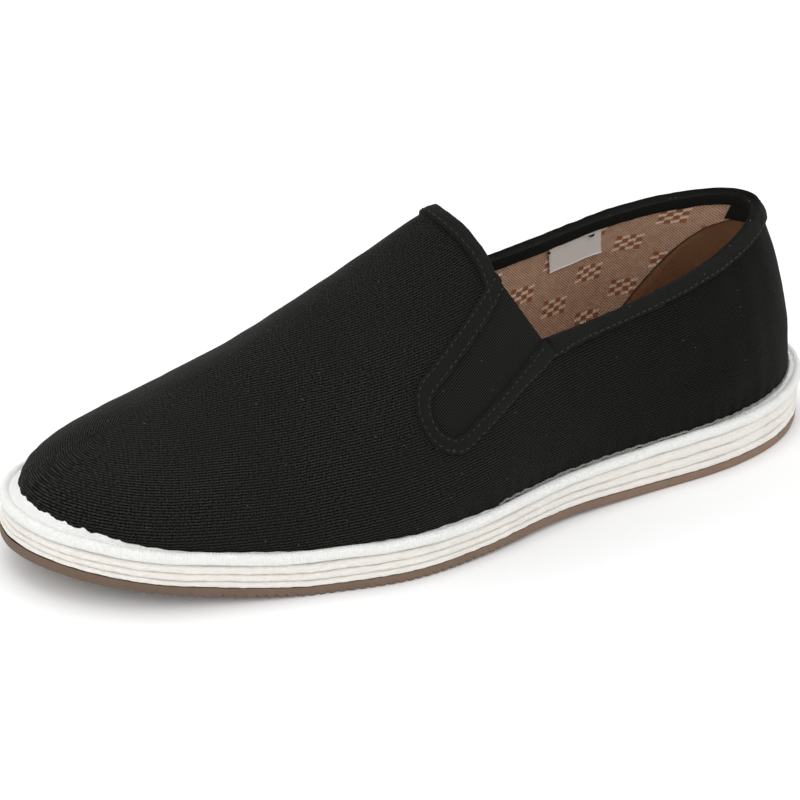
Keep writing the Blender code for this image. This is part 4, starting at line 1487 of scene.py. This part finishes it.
class SHOE_OT_tapes(bpy.types.Operator):
    """Folded bindings of the collar and vamp with their stitching"""

    bl_idname = "shoe.tapes"
    bl_label = "Bindings"

    def execute(self, context):
        look, size = finishes(), sizes()
        runs = collar_runs(130)
        profile = fold_profile(size.collar_width, 0.0047)
        collar = make_folded(
            "collar_binding", runs, (0.0, -1.0), profile, look.get("tape"), True
        )
        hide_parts("collar_tape")
        sewing = Pile()
        path, normals = edge_rows(
            runs, (0.0, -1.0), size.collar_width - 0.0009, TAPE_LIP, True
        )
        stitch_row(sewing, path, normals, rise=0.00012, jitter=0.00008, seed=3)
        runs = vamp_runs(60)
        vamp = make_folded(
            "vamp_binding", runs, (1.0, 0.0), fold_profile(0.0052, 0.0052), look.get("tape")
        )
        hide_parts("vamp_tape")
        path, normals = edge_rows(runs, (1.0, 0.0), 0.0042, TAPE_LIP)
        stitch_row(sewing, path, normals, rise=0.0001, jitter=0.00006, seed=5)
        threads = sewing.make("binding_stitches", look.get("pale_thread"), join=False)
        return {"FINISHED"}


# Gussets


class SHOE_OT_gussets(bpy.types.Operator):
    """Ribbed elastic gussets with their stitched borders"""

    bl_idname = "shoe.gussets"
    bl_label = "Gussets"

    def execute(self, context):
        look = finishes()
        for side, word in ((LATERAL, "lateral"), (MEDIAL, "medial")):
            elastic = make_elastic(side, "elastic_" + word, look.get("elastic"))
            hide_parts("gore_" + word)
            border = make_border(side, "gusset_border_" + word, look.get("tape"))
            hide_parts("gore_tape_" + word)
            facing = make_facing(side, "gusset_facing_" + word, look.get("tape"))
            threads = border_stitches(side, "gusset_stitches_" + word, look.get("pale_thread"))
        return {"FINISHED"}


def make_elastic(side, name, material):
    """Elastic patch with raised ribs, a little sunk between its borders."""
    middle, down, across = gore_axis()
    rows, columns = 60, 44
    depth = np.linspace(-0.0006, GORE_LENGTH + 0.0012, rows)
    bend = GORE_LENGTH - GORE_FOOT_WIDTH / 2
    half_foot = GORE_FOOT_WIDTH / 2 + 0.0012
    half = GORE_TOP_WIDTH / 2 + 0.0012 - (GORE_TOP_WIDTH - GORE_FOOT_WIDTH) / 2 * np.clip(
        depth / bend, 0, 1
    )
    beyond = np.clip(depth - bend, 0, half_foot * 0.995)
    half = np.where(depth > bend, np.sqrt(half_foot**2 - beyond**2), half)
    share = np.linspace(-1, 1, columns)
    offset = half[:, None] * share[None]
    flat = middle + depth[:, None, None] * down + offset[..., None] * across
    turn, rise = on_wall(side, flat[..., 0], flat[..., 1])
    sag = -0.0004 * (1 - share[None] ** 2)
    face = offset_last(side, turn, rise, -0.0002 + sag + 0 * turn)
    back = offset_last(side, turn, rise, -0.0016)
    places = np.stack([offset, np.broadcast_to(depth[:, None], offset.shape)], -1) * MM
    pile = Pile()
    pile.grid(face, places, flip=side > 0)
    pile.grid(back, places, flip=side < 0)
    top = np.stack([face[0], back[0]], 1)
    pile.grid(top, np.stack([places[0], places[0]], 1), flip=side < 0)
    return pile.make(name, material, join=False)


# Inner and outer edge of the border, as distances out of the gusset's edge
BORDER_WIDTHS = (-0.0006, 0.0036)


def border_grid(side, path, widths, distance):
    """Grid round the gusset: a width from its edge for each point, and a distance out."""
    flat = np.stack([gore_outline(path, width) for width in widths.T], 1)
    turn, rise = on_wall(side, flat[..., 0], flat[..., 1])
    return offset_last(side, turn, rise, distance)


def make_border(side, name, material):
    """Tape sewn round the gusset, with soft edges and a slight swell between its seams."""
    path = np.linspace(-0.004, 1.006, 130)
    inner, outer = BORDER_WIDTHS
    share = np.array([0, 0, 0.05, 0.14, 0.3, 0.5, 0.7, 0.86, 0.95, 1, 1])
    lift = np.array([-0.0006, 0.0006, 0.00105, 0.0011, 0.00128, 0.00132, 0.00128, 0.0011])
    lift = np.append(lift, [0.00105, 0.0006, -0.0002])
    narrow = 0.0016 * np.clip(1 - path / 0.05, 0, 1)[:, None] * (1 - share)
    widths = inner + (outer - inner + border_extra(path)[:, None]) * share + narrow
    distance = np.broadcast_to(lift, (len(path), len(lift)))
    grid = border_grid(side, path, widths, distance)
    uneven = ripple(grid, 0.006, 31) * 0.00008
    grid = border_grid(side, path, widths, distance + uneven)
    gone = lengths_along(grid[:, 5])
    pile = Pile()
    pile.grid(grid, flat_places(gone, widths - inner), flip=side > 0)
    return pile.make(name, material)


def make_facing(side, name, material):
    """Tape that covers the lining's cut edge round the gusset on the inside."""
    path = np.linspace(-0.004, 1.006, 130)
    lift = np.array([0.0001, 0.0006, 0.0008, 0.0008, 0.0008, 0.0006, 0.0])
    inner, outer = -0.0010, BORDER_WIDTHS[1]
    widths = np.linspace(inner, outer, len(lift)) + 0 * path[:, None]
    grid = border_grid(side, path, widths, -WALL - lift)
    gone = lengths_along(grid[:, 3])
    pile = Pile()
    pile.grid(grid, flat_places(gone, widths - inner), flip=side < 0)
    return pile.make(name, material)


STITCH_LEVEL = 0.00112


def border_stitches(side, name, material):
    """Two rows of small stitches round the gusset."""
    pile = Pile()
    path = np.linspace(0.01, 0.99, 160)
    for width, seed in ((0.0002, 41), (0.0029, 42)):
        width = width + border_extra(path) * (seed == 42)
        points = border_grid(side, path, width[:, None], STITCH_LEVEL)[:, 0]
        flat = gore_outline(path, width)
        turn, rise = on_wall(side, flat[..., 0], flat[..., 1])
        _, normal, _, _ = last_frame(side, turn, rise)
        stitch_row(pile, points, normal, rise=0.00012, jitter=0.00006, seed=seed, shorten=0.9)
    return pile.make(name, material, join=False)


# Sole


class SHOE_OT_welt(bpy.types.Operator):
    """White cord, fuzzy ledge and the grey selvage"""

    bl_idname = "shoe.welt"
    bl_label = "Welt"

    def execute(self, context):
        look = finishes()
        cord = make_cord(look.get("cord"))
        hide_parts("welt")
        make_ledge(look.get("ledge"))
        make_selvage(look.get("selvage"))
        return {"FINISHED"}


def make_cord(material):
    """Round corded edge with cross ribs."""
    count, around = 2600, 18
    gone, edge, out = sole_loop(0, count)
    thick = (WELT_THICKNESS - CLEARANCE) / 2
    tall = thick + 0.0002
    base = sole_top(edge[:, 0]) - WELT_THICKNESS + CLEARANCE
    total = gone[-1]
    ribs = round(total / 0.00105)
    rib = np.cos(2 * pi * ribs * gone / total)
    line = raised(edge, base)
    swell = 1 + 0.035 * ripple(line, 0.012, 51) + 0.022 * rib
    wander = 0.00022 * ripple(line, 0.03, 52)
    angles = np.linspace(-0.62 * pi, 1.0 * pi, around)
    inset = thick - np.cos(angles)[None] * (thick * swell)[:, None]
    height = (base + tall + wander)[:, None] + np.sin(angles)[None] * (tall * swell)[:, None]
    pile = Pile()
    ring(pile, gone, edge, out, inset, height, flip=True)
    return pile.make("welt_cord", material)


def make_ledge(material):
    """Matted cotton between the cord and the upper, climbing it in small scallops."""
    count = 2600
    gone, edge, out = sole_loop(0, count)
    station = station_of(edge[:, 0])
    width = LEDGE_WIDTH * read(SOLE, "ledge", station)
    top = sole_top(edge[:, 0])
    base = raised(edge, top)
    front = np.clip((station - 0.42) / 0.2, 0, 1)
    scallop = 0.5 - 0.5 * np.cos(2 * pi * gone / 0.0036 + 1.3 * ripple(base, 0.02, 61))
    climb = (0.0007 + 0.0004 * scallop * (0.6 + 0.3 * ripple(base, 0.009, 62))) * (
        0.45 + 0.55 * front
    )
    toe = np.clip((station - 0.9) / 0.1, 0, 1)
    climb += 0.0007 * toe
    shares = np.array([0.30, 0.42, 0.55, 0.7, 0.85, 0.97, 1.03, 1.05, 1.08])
    rises = np.array([-0.10, 0.02, 0.10, 0.16, 0.3, 0.55, 0.85, 1.0, 0.9])
    start = (WELT_THICKNESS - CLEARANCE) * 0.72
    inset = start + (width[:, None] - start) * (shares - shares[0]) / 0.75
    inset = np.maximum(inset, start + 0.0004 * np.arange(len(shares)))
    height = top[:, None] + climb[:, None] * rises
    place = ring_points(edge, out, inset, height)
    rough = ripple(place, 0.0032, 63) * 0.00012 + ripple(place, 0.0013, 64) * 0.00006
    height = height + rough * np.linspace(0.6, 1.0, len(shares))
    pile = Pile()
    ring(pile, gone, edge, out, inset, height)
    return pile.make("welt_ledge", material)


def make_selvage(material):
    """Thin grey stitched line where the upper meets the ledge, from the waist back."""
    count = 1500
    gone, edge, out = sole_loop(0, count)
    station = station_of(edge[:, 0])
    keep = station < 0.52
    width = LEDGE_WIDTH * read(SOLE, "ledge", station)
    top = sole_top(edge[:, 0])
    base = raised(edge, top)
    sway = 0.00016 * np.sin(2 * pi * gone / 0.0046) + 0.0003 * ripple(base, 0.012, 71)
    angles = np.linspace(0, 2 * pi, 9)
    thick = 0.00036 * (1 + 0.3 * np.sin(2 * pi * gone / 0.0013))
    inset = (width - 0.00035)[:, None] - np.cos(angles)[None] * thick[:, None]
    height = (top + 0.0010 + sway)[:, None] + np.sin(angles)[None] * thick[:, None]
    points = ring_points(edge, out, inset, height)
    places = flat_places(gone, np.broadcast_to(angles * 0.0005, inset.shape))
    cells = np.broadcast_to((keep[:-1] & keep[1:])[:, None], (count - 1, len(angles) - 1))
    pile = Pile()
    pile.grid(points, places, cells, flip=True)
    return pile.make("selvage", material)


class SHOE_OT_layers(bpy.types.Operator):
    """Three matted cloth layers of the sole"""

    bl_idname = "shoe.layers"
    bl_label = "Sole layers"

    def execute(self, context):
        material = finishes().get("layer")
        below = 0.0
        for number, row in enumerate(LAYERS):
            layer = make_layer(row, below, number, material)
            below += row.share
            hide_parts(row.name)
        return {"FINISHED"}


def make_layer(row, below, number, material):
    """One cloth layer with a soft, uneven side."""
    count = 1500
    gone, edge, out = sole_loop(LAYER_STEP * (1 - row.steps), count)
    x = edge[:, 0]
    floor = sole_rise(x) + RUBBER_THICKNESS
    low = floor + 0.0001 + below * stack_height(x)
    high = floor + (below + row.share) * stack_height(x) + 0.00005
    base = raised(edge, low)
    depth = sizes().fuzz_depth
    back = np.clip((0.35 - station_of(x)) / 0.3, 0, 1)
    wave_low = depth * ripple(base, 0.017, 80 + number) * (0.6 + back)
    wave_high = depth * ripple(base, 0.017, 81 + number) * (0.6 + back)
    low = low + (wave_low if number else 0)
    high = high + (wave_high if number < 2 else 0)
    share = np.array([0.0, 0.0, 0.06, 0.16, 0.3, 0.5, 0.7, 0.84, 0.94, 1.0, 1.0])
    pull = np.array([6.0, 0.75, 0.42, 0.16, 0.03, 0.0, 0.03, 0.16, 0.42, 0.75, 6.0]) * 0.0012
    height = low[:, None] + (high - low)[:, None] * share
    inset = np.broadcast_to(pull, height.shape)
    place = ring_points(edge, out, 0 * height, height)
    rough = ripple(place * (1, 1, 3), 0.006, 90 + number) * depth * 0.5
    rough += ripple(place * (1, 1, 2), 0.0018, 95 + number) * depth * 0.25
    pile = Pile()
    ring(pile, gone, edge, out, inset + rough + 0.0002, height, flip=True)
    return pile.make("cloth_" + row.name, material)


class SHOE_OT_outsole(bpy.types.Operator):
    """Tan rubber outsole with ribs across the forefoot"""

    bl_idname = "shoe.outsole"
    bl_label = "Outsole"

    def execute(self, context):
        sole = make_outsole(finishes().get("rubber"))
        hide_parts("outsole")
        return {"FINISHED"}


def tread_cut(x):
    """Depth cut into the underside between the ribs."""
    first, end = 0.50, 0.93
    station = station_of(x)
    phase = (station - first) * SOLE_LENGTH / TREAD_PITCH % 1.0
    cut = TREAD_DEPTH * np.interp(phase, column(TREAD, "phase"), column(TREAD, "cut"))
    return np.where((station > first) & (station < end), cut, 0.0)


def make_outsole(material):
    """Rubber sheet swept from heel to toe: side, rounded corner and ribbed underside."""
    x = SOLE_LENGTH * (share_of(np.linspace(0.002, 0.998, 260)) - 0.5)
    ribbed = np.arange(0.0, 0.1204, TREAD_PITCH / 10)
    x = np.unique(np.round(np.concatenate([x, ribbed]), 6))
    turn = np.arccos(1 - 2 * station_of(x)) / pi
    sides = [plan_edge(s, turn) - plan_outward(s, turn) * LAYER_STEP for s in (1, -1)]
    top = sole_rise(x) + RUBBER_THICKNESS
    base = sole_rise(x) + tread_cut(x)
    round_off = 0.0005
    across = np.linspace(-1, 1, 17)
    left = np.stack([x, sides[0][:, 1]], -1)
    right = np.stack([x, sides[1][:, 1]], -1)
    middle, half = (left[:, 1] + right[:, 1]) / 2, (left[:, 1] - right[:, 1]) / 2
    rows = []
    inner = np.maximum(half - round_off, half * 0.5)
    rows.append((middle + inner * 0.8, top))
    for inset, level in ((0.3, 1.0), (0.0, 0.86), (0.0, 0.5), (0.0, 0.2), (0.35, 0.05)):
        rows.append((middle + half - (half - inner) * inset, base + (top - base) * level))
    rows += [(middle + inner * place, base) for place in across[::-1]]
    for inset, level in ((0.35, 0.05), (0.0, 0.2), (0.0, 0.5), (0.0, 0.86), (0.3, 1.0)):
        rows.append((middle - half + (half - inner) * inset, base + (top - base) * level))
    rows.append((middle - inner * 0.8, top))
    points = np.stack([np.stack([x, y, z], -1) for y, z in rows], 1)
    places = flat_places(x, across_lengths(points))
    pile = Pile()
    pile.grid(points, places, flip=True)
    for end in (0, -1):
        lid = np.stack([points[end], points[end][::-1]], 0)
        pile.grid(lid, np.stack([places[end], places[end]], 0), flip=end == -1)
    sole = pile.make("rubber_outsole", material)
    sole.data.set_sharp_from_angle(angle=0.6)
    return sole


class SHOE_OT_insole(bpy.types.Operator):
    """Brown sock that lines the foot bed"""

    bl_idname = "shoe.insole"
    bl_label = "Sock"

    def execute(self, context):
        sock = make_sock(finishes().get("sock"))
        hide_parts("insole")
        return {"FINISHED"}


def make_sock(material):
    """Sock on the welt, slightly dished and rounded at its edge."""
    turn = np.linspace(0.004, 0.996, 220)
    sides = []
    for side in (LATERAL, MEDIAL):
        edge = feather_edge(side, turn)[:, :2] - plan_outward(side, turn) * (WALL + 0.0007)
        sides.append(edge)
    share = np.array([0, 0.01, 0.03, 0.08, 0.16, 0.3, 0.5, 0.7, 0.84, 0.92, 0.97, 0.99, 1])
    lift = np.array([-0.6, 0.35, 0.8, 1.0, 0.94, 0.84, 0.8, 0.84, 0.94, 1.0, 0.8, 0.35, -0.6])
    plan = sides[0][:, None] + (sides[1] - sides[0])[:, None] * share[None, :, None]
    height = sole_top(plan[..., 0]) + CLEARANCE + INSOLE_THICKNESS * lift
    points = np.concatenate([plan, height[..., None]], -1)
    points[..., 2] += ripple(points, 0.03, 101) * 0.0003
    places = plan * MM
    pile = Pile()
    pile.grid(points, places, flip=True)
    return pile.make("sock", material)


# Stage


class SHOE_OT_stage(bpy.types.Operator):
    """Pale floor, soft lights and the camera"""

    bl_idname = "shoe.stage"
    bl_label = "Stage"

    def execute(self, context):
        make_floor()
        make_lights()
        make_camera()
        return {"FINISHED"}


def make_floor():
    """Wide pale plane under the shoe."""
    mesh = bpy.data.meshes.new("floor")
    reach = 6.0
    corners = [(-reach, -reach, 0), (reach, -reach, 0), (reach, reach, 0), (-reach, reach, 0)]
    mesh.from_pydata(corners, [], [(0, 1, 2, 3)])
    material = bpy.data.materials.new("pale floor")
    material.use_nodes = True
    shader = material.node_tree.nodes["Principled BSDF"]
    shader.inputs["Base Color"].default_value = (0.93, 0.93, 0.93, 1)
    shader.inputs["Roughness"].default_value = 1.0
    shader.inputs["Specular IOR Level"].default_value = 0.0
    mesh.materials.append(material)
    floor = bpy.data.objects.new("floor", mesh)
    bpy.context.scene.collection.objects.link(floor)


LightRow = namedtuple("LightRow", "name place size power")
LIGHTS = [
    LightRow("key", (0.3, -1.0, 1.9), 1.6, 9.0),
    LightRow("front", (1.7, 0.9, 1.1), 1.6, 8.0),
    LightRow("side", (0.2, 2.0, 1.3), 1.8, 6.0),
    LightRow("rear", (-1.6, 0.5, 1.5), 1.4, 1.0),
]


def make_lights():
    """Large soft lamps that face the shoe, and an even pale sky."""
    for row in LIGHTS:
        data = bpy.data.lights.new(row.name, "AREA")
        data.size = row.size
        data.energy = row.power
        lamp = bpy.data.objects.new(row.name, data)
        lamp.location = row.place
        aim = Vector((0, 0, 0.03)) - Vector(row.place)
        lamp.rotation_mode = "QUATERNION"
        lamp.rotation_quaternion = aim.to_track_quat("-Z", "Y")
        bpy.context.scene.collection.objects.link(lamp)
    world = bpy.data.worlds.new("soft sky")
    world.use_nodes = True
    world.node_tree.nodes["Background"].inputs[0].default_value = (1, 1, 1, 1)
    world.node_tree.nodes["Background"].inputs[1].default_value = 1.0
    bpy.context.scene.world = world
    bpy.context.scene.view_settings.view_transform = "Standard"


def make_camera():
    """The photograph's view, found from the sole's and upper's edges."""
    azimuth, elevation, roll = np.radians([145.81, 25.58, 4.0])
    distance = 0.87373
    focal_pixels, image = 2871.15, 800.0
    target = np.array([0, HEEL_LINE, 0.035])
    back = np.array([
        np.sin(azimuth) * np.cos(elevation),
        -np.cos(azimuth) * np.cos(elevation),
        np.sin(elevation),
    ])
    right = np.cross((0, 0, 1), back)
    right = right / np.linalg.norm(right)
    up = np.cross(back, right)
    rolled_right = right * np.cos(roll) + up * np.sin(roll)
    rolled_up = -right * np.sin(roll) + up * np.cos(roll)
    data = bpy.data.cameras.new("camera")
    data.sensor_width = 36.0
    data.lens = focal_pixels / image * 36.0
    data.shift_x = -0.0376
    data.shift_y = -0.0339
    data.clip_start, data.clip_end = 0.05, 50
    camera = bpy.data.objects.new("camera", data)
    turned = Matrix((rolled_right, rolled_up, back)).transposed().to_4x4()
    turned.translation = Vector(target + back * distance)
    camera.matrix_world = turned
    bpy.context.scene.collection.objects.link(camera)
    bpy.context.scene.camera = camera


class SHOE_PT_panel(bpy.types.Panel):
    """Sizes, colours and the steps that build the shoe"""

    bl_label = "Cloth shoe"
    bl_space_type = "VIEW_3D"
    bl_region_type = "UI"
    bl_category = "Cloth shoe"

    def draw(self, context):
        scene = context.scene
        for group in (scene.shoe_sizes, scene.shoe_colours):
            box = self.layout.box()
            for name in group.bl_rna.properties.keys():
                if name not in ("rna_type", "name"):
                    box.prop(group, name)
        for operator in STEPS:
            self.layout.operator(operator.bl_idname)


STEPS = [
    SHOE_OT_outsole,
    SHOE_OT_layers,
    SHOE_OT_welt,
    SHOE_OT_insole,
    SHOE_OT_upper,
    SHOE_OT_gussets,
    SHOE_OT_tapes,
    SHOE_OT_stage,
]
CLASSES = [ShoeSizes, ShoeColours, *STEPS, SHOE_PT_panel]


def register():
    """Makes the steps, the panel and the values known."""
    for item in CLASSES:
        bpy.utils.register_class(item)
    bpy.types.Scene.shoe_sizes = bpy.props.PointerProperty(type=ShoeSizes)
    bpy.types.Scene.shoe_colours = bpy.props.PointerProperty(type=ShoeColours)


def unregister():
    """Takes them out again, in the other order."""
    del bpy.types.Scene.shoe_colours
    del bpy.types.Scene.shoe_sizes
    for item in reversed(CLASSES):
        bpy.utils.unregister_class(item)


def main():
    """Builds the shoe and its stage step by step."""
    register()
    bpy.ops.shoe.outsole()
    bpy.ops.shoe.layers()
    bpy.ops.shoe.welt()
    bpy.ops.shoe.insole()
    bpy.ops.shoe.upper()
    bpy.ops.shoe.gussets()
    bpy.ops.shoe.tapes()
    bpy.ops.shoe.stage()


if __name__ == "__main__":
    main()
